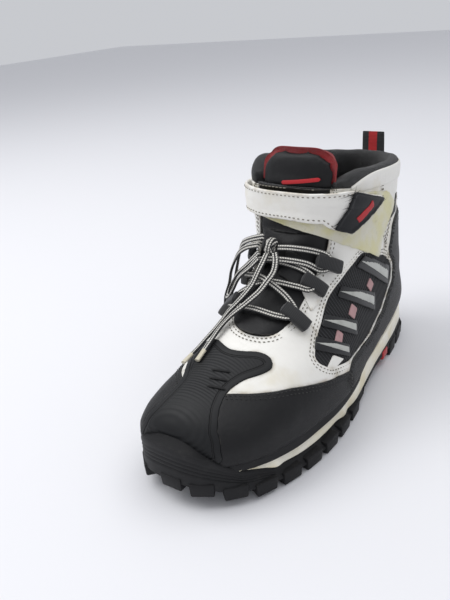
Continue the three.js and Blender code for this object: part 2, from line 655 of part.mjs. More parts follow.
// Cord loops at the throat edge, each bent round the lace
const laceLoops = {
  lateral_1: [[30.5, -42, 87.5], [24, -43, 92], [17.5, -44, 96.5], [18.5, -45.5, 98.5],
    [19.5, -46.5, 100.5],
    [26, -46, 98.5], [30.5, -44.5, 94], [32.5, -43, 90]],
  lateral_2: [[30, -15, 102.5], [25.5, -17.5, 106], [21.5, -20, 110], [21.5, -22, 112.5],
    [24.5, -22.5, 113],
    [29, -21.5, 111.5], [31, -19, 108], [32, -16, 104]],
  lateral_3: [[32, 3.5, 113.5], [27.5, -2.5, 117.5], [24.5, -6.5, 120], [25, -9.5, 122], [28.5, -9, 122],
    [34.5, -5.5, 121.5], [36.5, -1, 118], [36, 4, 114.5]],
  medial_1: [[-35, -43.5, 85.5], [-28.5, -44.5, 91], [-23.5, -45.5, 95.5], [-23, -46.5, 98],
    [-26, -47.5, 99.5],
    [-31.5, -47, 97.5], [-36, -45.5, 91.5], [-38, -44, 86]],
  medial_2: [[-35, -12.5, 98], [-30.5, -16, 103.5], [-26, -19, 108.5], [-26.5, -21, 111],
    [-29.5, -21.5, 111.5],
    [-35, -19.5, 108], [-37.5, -16, 103], [-37.5, -13.5, 99]],
  medial_3: [[-37, 2.5, 111.5], [-32.5, -2.5, 116.5], [-29.5, -6.5, 119.5], [-30, -9, 121.5],
    [-33.5, -9.5, 121],
    [-38.5, -6.5, 118], [-39.5, -2.5, 115], [-40, 1.5, 112]],
};
const loopCord = 2.2;
for (const [name, points] of Object.entries(laceLoops)) {
  add(`lace_loop_${name}`, roundTube(points.map(place), loopCord, 6, 9), blackFabric, 0.8);
}

// Bow knot under the strap edge, with its two loops and the two lace ends
const knotCentre = place([-6, -21.5, 132.5]);
const knot = new THREE.SphereGeometry(1, 12, 8);
knot.scale(6.5, 5, 5.5);
knot.translate(knotCentre.x, knotCentre.y, knotCentre.z);
add('bow_knot', toSolid(knot), blackFabric, 0.8);
const freeCords = {
  bow_loop_medial: [[-12.5, -21, 139], [-21, -21.5, 136.5], [-30, -18, 132], [-39.5, -10, 124.5],
    [-46, -5, 114],
    [-49.5, -4, 104], [-51, -6, 94], [-51.5, -11, 84], [-50.5, -18, 78], [-48.5, -24.5, 79], [-48, -24, 87],
    [-47, -19.5, 96], [-46.5, -16.5, 105], [-43, -15, 114], [-36, -18.5, 122.5], [-27, -21.5, 129],
    [-15, -24, 133.5]],
  bow_loop_front: [[-13.5, -26.5, 128.5], [-19, -29, 122.5], [-23.5, -29.5, 118], [-30, -29.5, 112],
    [-36, -28.5, 104],
    [-39.5, -29.5, 97], [-38.5, -35, 93], [-34, -38, 95.5], [-31, -37, 101], [-28, -35, 108],
    [-23, -35, 114],
    [-17, -34, 119.5], [-11.5, -30.5, 126]],
  lace_end_a: [[-5.5, -29, 129.5], [-5.5, -33.5, 126], [-6.5, -39, 120.5], [-8.5, -45, 112.5],
    [-11, -52, 107],
    [-15, -57, 101.5], [-20, -60, 95.5], [-24, -63, 89.5], [-28, -67, 83.5], [-30.5, -74.5, 79],
    [-32, -82, 75.5],
    [-32, -91, 74]],
  lace_end_b: [[1, -28.5, 131], [3.5, -32, 127], [4.5, -37, 121], [2.5, -43.5, 115.5], [-0.5, -49, 110],
    [-4, -54.5, 106], [-8, -58.5, 102], [-14, -62, 96.5], [-19.5, -64.5, 90.5], [-22.5, -69, 86],
    [-23.5, -77, 81.5],
    [-23.5, -87, 77.5]],
};
for (const [name, points] of Object.entries(freeCords)) add(name, cord(points, 20), blackFabric, 0.8);

// Moulded tips, in line with the last stretch of each end
const tipLength = 9;
for (const name of ['a', 'b']) {
  const points = freeCords[`lace_end_${name}`].slice(-2).map(place);
  const line = points[1].clone().sub(points[0]).normalize();
  const tip = new THREE.CylinderGeometry(laceDiameter / 2, laceDiameter / 2, tipLength, 10);
  tip.applyQuaternion(new THREE.Quaternion().setFromUnitVectors(new THREE.Vector3(0, 1, 0), line));
  const middle = points[1].clone().addScaledVector(line, gap + tipLength / 2);
  tip.translate(middle.x, middle.y, middle.z);
  add(`lace_tip_${name}`, toSolid(tip), 0xb9b4a4, 0.4);
}

// Stand the boot on its ground plane, with the origin under the middle of it
const standing = new THREE.Box3();
const onFreeCord = (name) => name in freeCords || name === 'bow_knot' || name.startsWith('lace_tip');
for (const part of boot.children) {
  if (!onFreeCord(part.name)) standing.expandByObject(part);
}
const middle = standing.getCenter(new THREE.Vector3());
boot.position.set(-middle.x, -middle.y, -standing.min.z);

export default boot;
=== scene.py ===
import json
import math

import bmesh
import bpy
import numpy as np
from mathutils import Matrix, Vector, noise
from mathutils.bvhtree import BVHTree
from mathutils.geometry import delaunay_2d_cdt
from mathutils.kdtree import KDTree

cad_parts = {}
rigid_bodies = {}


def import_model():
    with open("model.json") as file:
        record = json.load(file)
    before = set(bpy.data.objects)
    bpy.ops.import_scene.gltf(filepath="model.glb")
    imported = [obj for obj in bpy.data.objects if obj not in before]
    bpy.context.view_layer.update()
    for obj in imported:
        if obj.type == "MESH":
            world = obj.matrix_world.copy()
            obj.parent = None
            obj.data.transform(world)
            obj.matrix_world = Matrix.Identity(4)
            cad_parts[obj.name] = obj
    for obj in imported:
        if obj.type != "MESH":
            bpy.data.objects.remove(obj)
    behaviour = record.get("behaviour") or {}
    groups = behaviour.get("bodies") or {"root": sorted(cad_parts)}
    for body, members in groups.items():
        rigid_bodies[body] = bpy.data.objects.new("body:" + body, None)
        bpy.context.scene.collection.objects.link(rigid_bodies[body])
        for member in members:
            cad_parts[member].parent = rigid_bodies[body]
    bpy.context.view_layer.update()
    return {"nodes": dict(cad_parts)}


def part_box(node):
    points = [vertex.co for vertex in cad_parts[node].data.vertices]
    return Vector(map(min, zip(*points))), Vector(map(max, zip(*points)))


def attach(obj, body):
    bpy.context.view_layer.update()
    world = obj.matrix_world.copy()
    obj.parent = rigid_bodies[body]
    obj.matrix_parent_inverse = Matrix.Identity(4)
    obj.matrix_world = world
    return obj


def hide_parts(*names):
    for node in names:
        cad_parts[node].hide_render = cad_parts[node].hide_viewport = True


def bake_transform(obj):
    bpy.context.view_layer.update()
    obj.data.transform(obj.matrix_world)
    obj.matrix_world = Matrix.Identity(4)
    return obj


# Ankle-high laced riding boot, left foot: leather panels sewn over one form, a moulded sole, laces and strap.
# Sizes below are in millimetres in the boot's own drawing, +Z up, toe toward -Y, outer side toward +X.

for spare in list(bpy.data.objects):   # Blender's own starting cube, lamp and camera
    bpy.data.objects.remove(spare)
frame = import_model()
nodes = frame["nodes"]
bpy.ops.object.select_all(action="DESELECT")
mm = 0.001

drawnKnot = Vector((-6, -21.5, 132.5))
knotLow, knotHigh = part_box("bow_knot")
drawingStart = (knotLow + knotHigh) / 2 - drawnKnot * mm   # where the drawing's zero lies in the frame
zero = np.array(drawingStart)


def placed(points):
    return [Vector(p) * mm + drawingStart for p in points]


# Camera

camera = {"turn": 37.34, "tilt": 25.51, "distance": 489.4, "target": (-51.6, -21.3, 80.9), "roll": -5.42,
          "lens": 37.5}


def aimCamera():
    turn, tilt, roll = (math.radians(camera[k]) for k in ("turn", "tilt", "roll"))
    back = Vector((math.sin(turn) * math.cos(tilt), -math.cos(turn) * math.cos(tilt), math.sin(tilt)))
    right = Vector((math.cos(turn), math.sin(turn), 0))
    up = back.cross(right)
    sideways = math.cos(roll) * right + math.sin(roll) * up
    upward = math.cos(roll) * up - math.sin(roll) * right
    spot = placed([camera["target"]])[0] + back * camera["distance"] * mm
    bpy.ops.object.camera_add(location=spot)
    made = bpy.context.object
    made.name = "camera"
    made.matrix_world = Matrix.Translation(spot) @ Matrix((sideways, upward, back)).transposed().to_4x4()
    made.data.lens = camera["lens"]
    made.data.clip_start = 0.01
    bpy.context.scene.camera = made


aimCamera()


# Finishes

def linear(colour):
    parts = [int(colour[i:i + 2], 16) / 255 for i in (0, 2, 4)]
    return [c / 12.92 if c <= 0.04045 else ((c + 0.055) / 1.055) ** 2.4 for c in parts] + [1]


def addNode(tree, kind, sockets=None, **settings):
    made = tree.nodes.new(kind)
    for name, value in settings.items():
        setattr(made, name, value)
    for name, value in (sockets or {}).items():
        if isinstance(value, bpy.types.NodeSocket):
            tree.links.new(value, made.inputs[name])
        else:
            made.inputs[name].default_value = value
    return made


def startFinish(name, roughness, **sockets):
    finish = bpy.data.materials.new(name)
    finish.use_nodes = True
    tree = finish.node_tree
    shader = tree.nodes["Principled BSDF"]
    shader.inputs["Roughness"].default_value = roughness
    for socket, value in sockets.items():
        shader.inputs[socket.replace("_", " ")].default_value = value
    return finish, tree, shader


def mixColour(tree, amount, first, second):
    mix = addNode(tree, "ShaderNodeMix", data_type="RGBA")
    for index, value in ((0, amount), (6, first), (7, second)):
        if isinstance(value, bpy.types.NodeSocket):
            tree.links.new(value, mix.inputs[index])
        else:
            mix.inputs[index].default_value = value
    return mix.outputs[2]


def stepUp(tree, value, low, high, top=1.0):   # 0 below low, top above high
    return addNode(tree, "ShaderNodeMapRange", {"Value": value, "From Min": low, "From Max": high,
                                                "To Max": top},
                   interpolation_type="SMOOTHSTEP").outputs[0]


def stretched(tree, x, y, z):   # object coordinates in pattern units
    where = addNode(tree, "ShaderNodeTexCoord").outputs["Object"]
    return addNode(tree, "ShaderNodeMapping", {"Vector": where, "Scale": (x, y, z)}).outputs[0]


def noiseOf(tree, size, detail=3.0, vector=None, roughness=0.5):
    vector = vector or addNode(tree, "ShaderNodeTexCoord").outputs["Object"]
    return addNode(tree, "ShaderNodeTexNoise", {"Vector": vector, "Scale": 1 / (size * mm), "Detail": detail,
                                                "Roughness": roughness}).outputs[0]


def readValue(tree, name):
    return addNode(tree, "ShaderNodeAttribute", attribute_name=name).outputs["Fac"]


def sums(tree, operation, first, second):
    made = addNode(tree, "ShaderNodeMath", operation=operation)
    for index, value in enumerate((first, second)):
        if isinstance(value, bpy.types.NodeSocket):
            tree.links.new(value, made.inputs[index])
        else:
            made.inputs[index].default_value = value
    return made.outputs[0]


def bumpFrom(tree, shader, height, depth, under=None):
    sockets = {"Height": height, "Distance": depth * mm, "Strength": 1.0}
    if under:
        sockets["Normal"] = under
    bump = addNode(tree, "ShaderNodeBump", sockets)
    tree.links.new(bump.outputs[0], shader.inputs["Normal"])
    return bump.outputs[0]


def makeWhiteLeather():
    # coated split leather: soft sheen, fine grain, yellowed in clouds, grey dirt in creases and along the seams
    finish, tree, shader = startFinish("coatedWhiteLeather", 0.46)
    clouds = stepUp(tree, noiseOf(tree, 34, 4), 0.5, 0.75, 0.75)
    body = mixColour(tree, clouds, linear("ECEAE4"), linear("DDD6C2"))
    edge = readValue(tree, "edge")
    patches = stepUp(tree, noiseOf(tree, 11, 5), 0.42, 0.72)
    grime = sums(tree, "MULTIPLY", sums(tree, "SUBTRACT", 1.0, stepUp(tree, edge, 0.2, 3.2)), patches)
    body = mixColour(tree, sums(tree, "MULTIPLY", grime, 0.55), body, linear("A08F70"))
    scuffs = stepUp(tree, noiseOf(tree, 1, 6, stretched(tree, 0.05, 0.012, 0.06), 0.7), 0.66, 0.74, 0.35)
    body = mixColour(tree, scuffs, body, linear("8D8982"))
    specks = addNode(tree, "ShaderNodeTexVoronoi", {"Scale": 1 / (7 * mm), "Randomness": 1.0})
    spot = sums(tree, "SUBTRACT", 1.0, stepUp(tree, specks.outputs["Distance"], 0.03, 0.075))
    rare = stepUp(tree, noiseOf(tree, 16, 2), 0.6, 0.66)
    body = mixColour(tree, sums(tree, "MULTIPLY", spot, rare), body, linear("5A4A3C"))
    tree.links.new(body, shader.inputs["Base Color"])
    grain = addNode(tree, "ShaderNodeTexVoronoi", {"Scale": 1 / (0.9 * mm)}, feature="SMOOTH_F1")
    under = bumpFrom(tree, shader, grain.outputs["Distance"], 0.05)
    folds = noiseOf(tree, 1, 5, stretched(tree, 0.045, 0.11, 0.07), 0.6)
    bumpFrom(tree, shader, folds, 0.8, under)
    return finish


def makeBlackLeather(name="smoothBlackLeather", tone="101012", worn="262524", roughness=0.48):
    # finished side leather: dense black with grey rubbed patches and fine pebble grain
    finish, tree, shader = startFinish(name, roughness, Specular_IOR_Level=0.3)
    rubbed = stepUp(tree, noiseOf(tree, 13, 6, None, 0.65), 0.55, 0.78, 0.55)
    body = mixColour(tree, rubbed, linear(tone), linear(worn))
    edge = sums(tree, "SUBTRACT", 1.0, stepUp(tree, readValue(tree, "edge"), 0.0, 1.0))
    rim = sums(tree, "MULTIPLY", edge, stepUp(tree, noiseOf(tree, 6, 5), 0.45, 0.65, 0.5))
    body = mixColour(tree, rim, body, linear("55524C"))
    tree.links.new(body, shader.inputs["Base Color"])
    grain = addNode(tree, "ShaderNodeTexVoronoi", {"Scale": 1 / (1.1 * mm)}, feature="SMOOTH_F1")
    under = bumpFrom(tree, shader, grain.outputs["Distance"], 0.06)
    bumpFrom(tree, shader, noiseOf(tree, 7, 5), 0.35, under)
    return finish


def makeRibbedRubber():
    # rubberised toe leather pressed with fine ribs across the foot, and a plain double-line border whose pressed
    # groove is painted darker, a painted shade
    finish, tree, shader = startFinish("ribbedToeRubber", 0.52, Specular_IOR_Level=0.3)
    rubbed = stepUp(tree, noiseOf(tree, 15, 5), 0.55, 0.8, 0.35)
    body = mixColour(tree, rubbed, linear("121315"), linear("232426"))
    edge = readValue(tree, "edge")
    line = sums(tree, "MULTIPLY", stepUp(tree, edge, 3.9, 4.4),
                sums(tree, "SUBTRACT", 1.0, stepUp(tree, edge, 5.0, 5.6)))
    # the pressed border groove painted darker: painted shade in the groove
    body = mixColour(tree, sums(tree, "MULTIPLY", line, 0.8), body, linear("0B0B0C"))
    tree.links.new(body, shader.inputs["Base Color"])
    ribPitch = 1.5
    ribs = addNode(tree, "ShaderNodeTexWave", {"Vector": stretched(tree, 0.02, 1.0, -0.75),
                                               "Scale": 0.628 / (ribPitch * mm),
                                               "Distortion": 0.0}, bands_direction="DIAGONAL")
    inside = stepUp(tree, edge, 5.2, 6.4)
    under = bumpFrom(tree, shader, sums(tree, "MULTIPLY", ribs.outputs["Fac"], inside), 0.15)
    border = sums(tree, "SUBTRACT", 1.0, line)
    bumpFrom(tree, shader, border, 0.7, under)
    return finish


def makeSoleRubber(name="treadRubber", tone="141416", worn="2E2D2C", roughness=0.6):
    # hard black tread rubber, dull, with grey dust on worn faces
    finish, tree, shader = startFinish(name, roughness, Specular_IOR_Level=0.3)
    dust = stepUp(tree, noiseOf(tree, 10, 6, None, 0.7), 0.5, 0.8, 0.6)
    body = mixColour(tree, dust, linear(tone), linear(worn))
    tree.links.new(body, shader.inputs["Base Color"])
    bumpFrom(tree, shader, noiseOf(tree, 1.6, 6), 0.12)
    return finish


def makeCreamRubber():
    # once-white foam rubber band, yellowed, with brown dirt in patches
    finish, tree, shader = startFinish("creamBandRubber", 0.5)
    aged = stepUp(tree, noiseOf(tree, 22, 4), 0.4, 0.7)
    body = mixColour(tree, aged, linear("EEEADC"), linear("E3DABD"))
    dirt = stepUp(tree, noiseOf(tree, 5, 6, None, 0.7), 0.6, 0.8, 0.5)
    body = mixColour(tree, dirt, body, linear("8E7E5E"))
    tree.links.new(body, shader.inputs["Base Color"])
    bumpFrom(tree, shader, noiseOf(tree, 2, 5), 0.1)
    return finish


def makeRibbedMesh():
    # stiff corrugated mesh in the side windows, nearly upright ribs 2.6 mm apart; each rib is painted lighter on
    # its crest and darker in its groove, a painted highlight and painted shade
    finish, tree, shader = startFinish("corrugatedMesh", 0.75)
    rib = addNode(tree, "ShaderNodeTexWave", {"Vector": stretched(tree, 0.0, 1.0, 0.22),
                                              "Scale": 0.628 / (2.6 * mm)},
                  bands_direction="DIAGONAL").outputs["Fac"]
    # rib crests painted lighter (painted highlight) and grooves painted darker (painted shade), following the rib
    # relief
    body = mixColour(tree, stepUp(tree, rib, 0.35, 0.9), linear("08080A"), linear("26272A"))
    tree.links.new(body, shader.inputs["Base Color"])
    under = bumpFrom(tree, shader, rib, 0.8)
    bumpFrom(tree, shader, noiseOf(tree, 0.7, 2), 0.15, under)
    return finish


def makeCloth(name, tone, second, pitch, roughness=0.85, sheen=0.3):
    # woven or knitted cloth; the cells have no coordinates of their own, so pitch only says how fine they are
    finish, tree, shader = startFinish(name, roughness, Specular_IOR_Level=0.25, Sheen_Weight=sheen,
                                       Sheen_Roughness=0.5)
    cells = addNode(tree, "ShaderNodeTexVoronoi", {"Scale": 1 / (pitch * mm), "Randomness": 0.35})
    weave = stepUp(tree, cells.outputs["Distance"], 0.15, 0.6)
    body = mixColour(tree, weave, linear(tone), linear(second))
    wear = stepUp(tree, noiseOf(tree, 12, 4), 0.5, 0.8, 0.35)
    body = mixColour(tree, wear, body, linear(second))
    tree.links.new(body, shader.inputs["Base Color"])
    under = bumpFrom(tree, shader, sums(tree, "SUBTRACT", 1.0, weave), 0.25)
    bumpFrom(tree, shader, noiseOf(tree, 9, 3), 0.5, under)
    return finish


def makeLoopPile():
    # brushed loop tape, once white: fuzzy pile, yellow where glue and light have aged it
    finish, tree, shader = startFinish("agedLoopPile", 0.95, Sheen_Weight=0.4, Sheen_Roughness=0.6)
    aged = stepUp(tree, noiseOf(tree, 18, 4), 0.38, 0.66)
    body = mixColour(tree, aged, linear("DCD8C4"), linear("D9D3A0"))
    soil = stepUp(tree, noiseOf(tree, 4, 6, None, 0.7), 0.56, 0.8, 0.5)
    body = mixColour(tree, soil, body, linear("9C9479"))
    tree.links.new(body, shader.inputs["Base Color"])
    bumpFrom(tree, shader, noiseOf(tree, 0.9, 4, None, 0.7), 0.6)
    return finish


def makeStripedCord():
    # flat shoe lace: black middle and edges, two pale lines, both crossed by slanting ticks of the braid
    finish, tree, shader = startFinish("braidedLace", 0.8, Sheen_Weight=0.2)
    across = readValue(tree, "across")
    run = readValue(tree, "run")
    away = sums(tree, "ABSOLUTE", across, 0.0)
    line = sums(tree, "MULTIPLY", stepUp(tree, away, 0.2, 0.28),
                sums(tree, "SUBTRACT", 1.0, stepUp(tree, away, 0.68, 0.78)))
    slant = sums(tree, "MULTIPLY", away, 1.1)
    phase = sums(tree, "FRACT", sums(tree, "DIVIDE", sums(tree, "ADD", run, slant), 1.7), 0.0)
    tick = sums(tree, "MULTIPLY", stepUp(tree, phase, 0.06, 0.16),
                sums(tree, "SUBTRACT", 1.0, stepUp(tree, phase, 0.84, 0.94)))
    pale = sums(tree, "MULTIPLY", line, tick)
    body = mixColour(tree, pale, linear("131315"), linear("D9D6CE"))
    tree.links.new(body, shader.inputs["Base Color"])
    bumpFrom(tree, shader, sums(tree, "ADD", tick, line), 0.25)
    return finish


def makeWebbing(name="nylonWebbing", stripe=None):
    # flat nylon webbing with a cross rib every 1.2 mm, and a woven stripe down the middle where one is given
    finish, tree, shader = startFinish(name, 0.7, Sheen_Weight=0.2)
    run = readValue(tree, "run")
    rib = sums(tree, "FRACT", sums(tree, "DIVIDE", run, 1.2), 0.0)
    ridge = sums(tree, "ABSOLUTE", sums(tree, "SUBTRACT", rib, 0.5), 0.0)
    body = mixColour(tree, stepUp(tree, ridge, 0.0, 0.5), linear("1E1E20"), linear("0D0D0F"))
    if stripe:
        away = sums(tree, "ABSOLUTE", readValue(tree, "across"), 0.0)
        body = mixColour(tree, sums(tree, "SUBTRACT", 1.0, stepUp(tree, away, 0.36, 0.42)), body,
                         linear(stripe))
    tree.links.new(body, shader.inputs["Base Color"])
    bumpFrom(tree, shader, ridge, 0.3)
    return finish


def makePlain(name, tone, roughness, size=3.0, depth=0.05, worn=None):
    # moulded plastic or board: one tone, slight mottling and a fine moulded grain
    finish, tree, shader = startFinish(name, roughness)
    mottle = stepUp(tree, noiseOf(tree, 9, 4), 0.45, 0.8, 0.5)
    body = mixColour(tree, mottle, linear(tone), linear(worn or tone))
    tree.links.new(body, shader.inputs["Base Color"])
    bumpFrom(tree, shader, noiseOf(tree, size, 4), depth)
    return finish


whiteLeather = makeWhiteLeather()
blackLeather = makeBlackLeather()
tongueLeather = makeBlackLeather("softTongueLeather", "0E0E10", "1C1C1D", 0.42)
toeRubber = makeRibbedRubber()
treadRubber = makeSoleRubber()
guardRubber = makeSoleRubber("heelGuardRubber", "1B1C1E", "333436", 0.5)
badgeRubber = makeSoleRubber("badgeRubber", "121316", "222427", 0.45)
creamRubber = makeCreamRubber()
windowMesh = makeRibbedMesh()
collarMesh = makeCloth("airMeshCollar", "131315", "0A0A0B", 1.3)
liningCloth = makeCloth("knitLining", "1A1A1C", "0C0C0D", 1.6)
redCloth = makeCloth("redMeshCloth", "C4121C", "9C0E16", 1.2)
loopPile = makeLoopPile()
hookPile = makePlain("hookTape", "CFCAB4", 0.8, 0.8, 0.5, "A9A48E")
laceBraid = makeStripedCord()
plainWebbing = makeWebbing()
stripedWebbing = makeWebbing("stripedPullWebbing", "B3161C")
barRubber = makePlain("mouldedBarRubber", "0F1012", 0.42, 1.0, 0.05, "1B1C1E")
silverFilm = makePlain("reflectiveGreyFilm", "B4B5AF", 0.35, 1.5, 0.04, "8E8E88")
rosePatch = makePlain("fadedRosePatch", "B58F8F", 0.7, 0.8, 0.1, "8E6B6C")
redPrint = makePlain("redFlexPrint", "B2151E", 0.5, 1.0, 0.05, "7E1016")
redPlastic = makePlain("redShankPlastic", "B31A1E", 0.4, 1.2, 0.04, "8A1015")
boardFibre = makePlain("pressedFibreBoard", "8E7C5E", 0.85, 1.2, 0.15, "6C5D44")
footbedFoam = makeCloth("footbedCloth", "3B3B3E", "242426", 1.4)
tipPlastic = makePlain("clearLaceTip", "C9C2AE", 0.25, 2.0, 0.03, "A79C82")
# near-black finish of the three toe strips: painted shade, standing for the shade inside pressed slots
slotShadeFinish = makePlain("pressedSlotShade", "060607", 0.8, 1.0, 0.05)
seamThread = makePlain("greyThread", "7C776B", 0.8, 0.5, 0.1, "4C483F")
darkThread = makePlain("blackThread", "2C2C2C", 0.7, 0.5, 0.1, "171717")
print("finishes made")


# Making and placing meshes

def meshObject(name, points, faces, finish, values=None, smooth=40):
    data = bpy.data.meshes.new(name)
    data.from_pydata([Vector(p) for p in points], [], faces)
    data.update()
    for key, column in (values or {}).items():
        data.attributes.new(key, "FLOAT", "POINT").data.foreach_set("value", np.asarray(column, np.float32))
    data.materials.append(finish)
    made = bpy.data.objects.new(name, data)
    bpy.context.scene.collection.objects.link(made)
    if smooth:
        shadeBy(made, smooth)
    return made


def pick(made):
    bpy.ops.object.select_all(action="DESELECT")
    made.select_set(True)
    bpy.context.view_layer.objects.active = made


def shadeBy(made, degrees):
    pick(made)
    bpy.ops.object.shade_smooth_by_angle(angle=math.radians(degrees))


def faceOut(made):   # turns every face of a closed mesh outwards
    pick(made)
    bpy.ops.object.mode_set(mode="EDIT")
    bpy.ops.mesh.select_all(action="SELECT")
    bpy.ops.mesh.normals_make_consistent(inside=False)
    bpy.ops.object.mode_set(mode="OBJECT")


def addModifier(made, kind, **settings):
    pick(made)
    modifier = made.modifiers.new(kind.title(), kind)
    for key, value in settings.items():
        setattr(modifier, key, value)
    bpy.ops.object.modifier_apply(modifier=modifier.name)


def mergePoints(made, distance=0.02):
    pick(made)
    bpy.ops.object.mode_set(mode="EDIT")
    bpy.ops.mesh.select_all(action="SELECT")
    bpy.ops.mesh.remove_doubles(threshold=distance * mm)
    bpy.ops.mesh.normals_make_consistent(inside=False)
    bpy.ops.object.mode_set(mode="OBJECT")


def finishPiece(made, body, slot, *replaced):
    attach(made, body)
    if replaced:
        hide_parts(*replaced)
    return made


# The form that the upper is shaped on

# Each row: top y, z; bottom y, z; half-widths outer, inner; centre x top, bottom;
# height of the widest point; roundness above and below it
formRows = np.array([
    [-142, 40, -142, 31, 12, 12, -16, -16, 0.45, 2.0, 3.0],
    [-140, 49, -141, 29, 25, 24, -15, -15, 0.40, 2.0, 3.6],
    [-133, 57, -136, 28, 36, 33, -13, -13, 0.36, 2.0, 4.4],
    [-121, 64, -125, 27, 44, 39, -11, -11, 0.32, 2.0, 5.2],
    [-104, 70, -107, 26, 50, 43, -9, -8, 0.30, 2.0, 6.0],
    [-86, 77, -88, 25, 53, 45, -7, -5, 0.28, 1.95, 6.0],
    [-67, 86, -68, 25, 54, 46, -6, -2, 0.26, 1.9, 6.0],
    [-50, 96, -42, 24, 54, 47, -5, 1, 0.25, 1.85, 6.0],
    [-36, 105, -12, 23, 53, 46, -4, 2, 0.27, 1.85, 6.0],
    [-25, 114, 22, 24, 50, 45, -3, 1, 0.30, 1.9, 6.0],
    [-17, 122, 62, 25, 48, 45, -3, -1, 0.33, 2.1, 6.0],
    [-11, 129, 105, 26, 46, 46, -3, -3, 0.36, 2.4, 5.0],
    [-7, 136, 138, 32, 45, 47, -3, -4, 0.40, 2.7, 3.6],
    [-5, 142, 148, 52, 44, 48, -3, -4, 0.44, 2.9, 2.4],
    [-4, 148, 148, 76, 43, 48, -3, -3, 0.46, 3.0, 2.3],
    [-3, 154, 145, 103, 43, 48, -3, -3, 0.48, 3.0, 2.3],
    [-3, 160, 142, 125, 43, 48, -3, -3, 0.50, 3.0, 2.3],
    [-3, 165, 142, 140, 43, 48, -3, -3, 0.50, 3.0, 2.3],
    [-3, 170, 144, 152, 43, 48, -3, -3, 0.50, 3.0, 2.3],
])
formSize = {"along": 181, "around": 216, "flatAround": 300.0, "flatAlong": 270.0}


def smoothThrough(points, spots):   # centripetal curve through points, read at spots 0..1
    points = np.asarray(points, float)
    whole = np.vstack([2 * points[0] - points[1], points, 2 * points[-1] - points[-2]])
    place = np.clip(np.asarray(spots, float) * (len(points) - 1), 0, len(points) - 1 - 1e-9)
    start = place.astype(int)
    t = (place - start)[:, None]
    a, b, c, d = (whole[start + k] for k in range(4))
    ab, bc, cd = (np.linalg.norm(q - p, axis=1)[:, None] ** 0.5 for p, q in ((a, b), (b, c), (c, d)))
    bc = np.where(bc < 1e-4, 1, bc)
    ab = np.where(ab < 1e-4, bc, ab)
    cd = np.where(cd < 1e-4, bc, cd)
    go = ((b - a) / ab - (c - a) / (ab + bc) + (c - b) / bc) * bc
    end = ((c - b) / bc - (d - b) / (bc + cd) + (d - c) / cd) * bc
    return b + go * t + (-3 * b + 3 * c - 2 * go - end) * t ** 2 + (2 * b - 2 * c + go + end) * t ** 3


def makeForm():
    along, around = formSize["along"], formSize["around"]
    spots = np.linspace(0, 1, along)
    rows = formRows
    top = smoothThrough(rows[:, [6, 0, 1]], spots)[:, None]
    bottom = smoothThrough(rows[:, [7, 2, 3]], spots)[:, None]
    width = smoothThrough(rows[:, [4, 5, 8]], spots)[:, None]
    round_ = smoothThrough(rows[:, [9, 10]], spots)[:, None]
    angle = np.linspace(0, 2 * np.pi, around, endpoint=False)[None, :]
    c, s = np.cos(angle), np.sin(angle)
    power = 2 / np.where(c >= 0, round_[..., 0], round_[..., 1])
    side = np.sign(s) * np.abs(s) ** power
    rise = np.abs(c) ** power
    widest = width[..., 2]
    height = np.where(c >= 0, widest + (1 - widest) * rise, widest * (1 - rise))
    points = bottom + (top - bottom) * height[..., None]
    points[..., 0] += side * np.where(side >= 0, width[..., 0], width[..., 1])
    forward = np.gradient(points, axis=0)
    sideways = np.roll(points, -1, 1) - np.roll(points, 1, 1)
    normals = np.cross(sideways, forward)
    normals /= np.linalg.norm(normals, axis=2, keepdims=True)
    normals[0] += (0, -1, 0)
    normals[0] /= np.linalg.norm(normals[0], axis=1, keepdims=True)
    return points, normals


formPoints, formNormals = makeForm()


def formTree():
    along, around = formSize["along"], formSize["around"]
    quads = []
    for i in range(along - 1):
        for k in range(around):
            a, b = i * around + k, i * around + (k + 1) % around
            quads.append((a, b, b + around, a + around))
    return BVHTree.FromPolygons([Vector(p) for p in formPoints.reshape(-1, 3)], quads)


formSurface = formTree()


def readForm(u, v):   # point and outward normal at around u (0 top middle, 0.5 back or bottom) and along v
    along, around = formSize["along"], formSize["around"]
    k = np.mod(np.asarray(u, float), 1) * around
    i = np.clip(np.asarray(v, float), 0, 1) * (along - 1)
    k0, i0 = np.floor(k).astype(int), np.minimum(np.floor(i).astype(int), along - 2)
    s, t = (k - k0)[..., None], (i - i0)[..., None]
    k0, k1 = k0 % around, (k0 + 1) % around
    out = []
    for grid in (formPoints, formNormals):
        low = grid[i0, k0] * (1 - s) + grid[i0, k1] * s
        high = grid[i0 + 1, k0] * (1 - s) + grid[i0 + 1, k1] * s
        out.append(low * (1 - t) + high * t)
    out[1] /= np.linalg.norm(out[1], axis=-1, keepdims=True)
    return out


def whereOnForm(spot, face):
    around = formSize["around"]
    i, k = divmod(face, around)
    a, b, c = formPoints[i, k], formPoints[i, (k + 1) % around], formPoints[i + 1, k]
    spot = np.array(spot)
    s = np.clip(np.dot(spot - a, b - a) / max(np.dot(b - a, b - a), 1e-9), 0, 1)
    t = np.clip(np.dot(spot - a, c - a) / max(np.dot(c - a, c - a), 1e-9), 0, 1)
    u = (k + s) / around
    return (u - 1 if u > 0.5 else u, (i + t) / (formSize["along"] - 1))


# Drawn points: "s" outer side (y, z), "m" inner side (y, z), "t" from above (x, y), "f" front (x, z),
# "b" back (x, z), "u" on the form
looks = {"s": lambda y, z: ((300, y, z), (-1, 0, 0)), "m": lambda y, z: ((-300, y, z), (1, 0, 0)),
         "t": lambda x, y: ((x, y, 400), (0, 0, -1)), "f": lambda x, z: ((x, -300, z), (0, 1, 0)),
         "b": lambda x, z: ((x, 300, z), (0, -1, 0))}


def onForm(entry):
    kind, first, second = entry
    if kind == "u":
        return (first, second)
    start, line = looks[kind](first, second)
    hit = formSurface.ray_cast(Vector(start), Vector(line))
    if hit[0] is None:
        return None
    return whereOnForm(hit[0], hit[2])


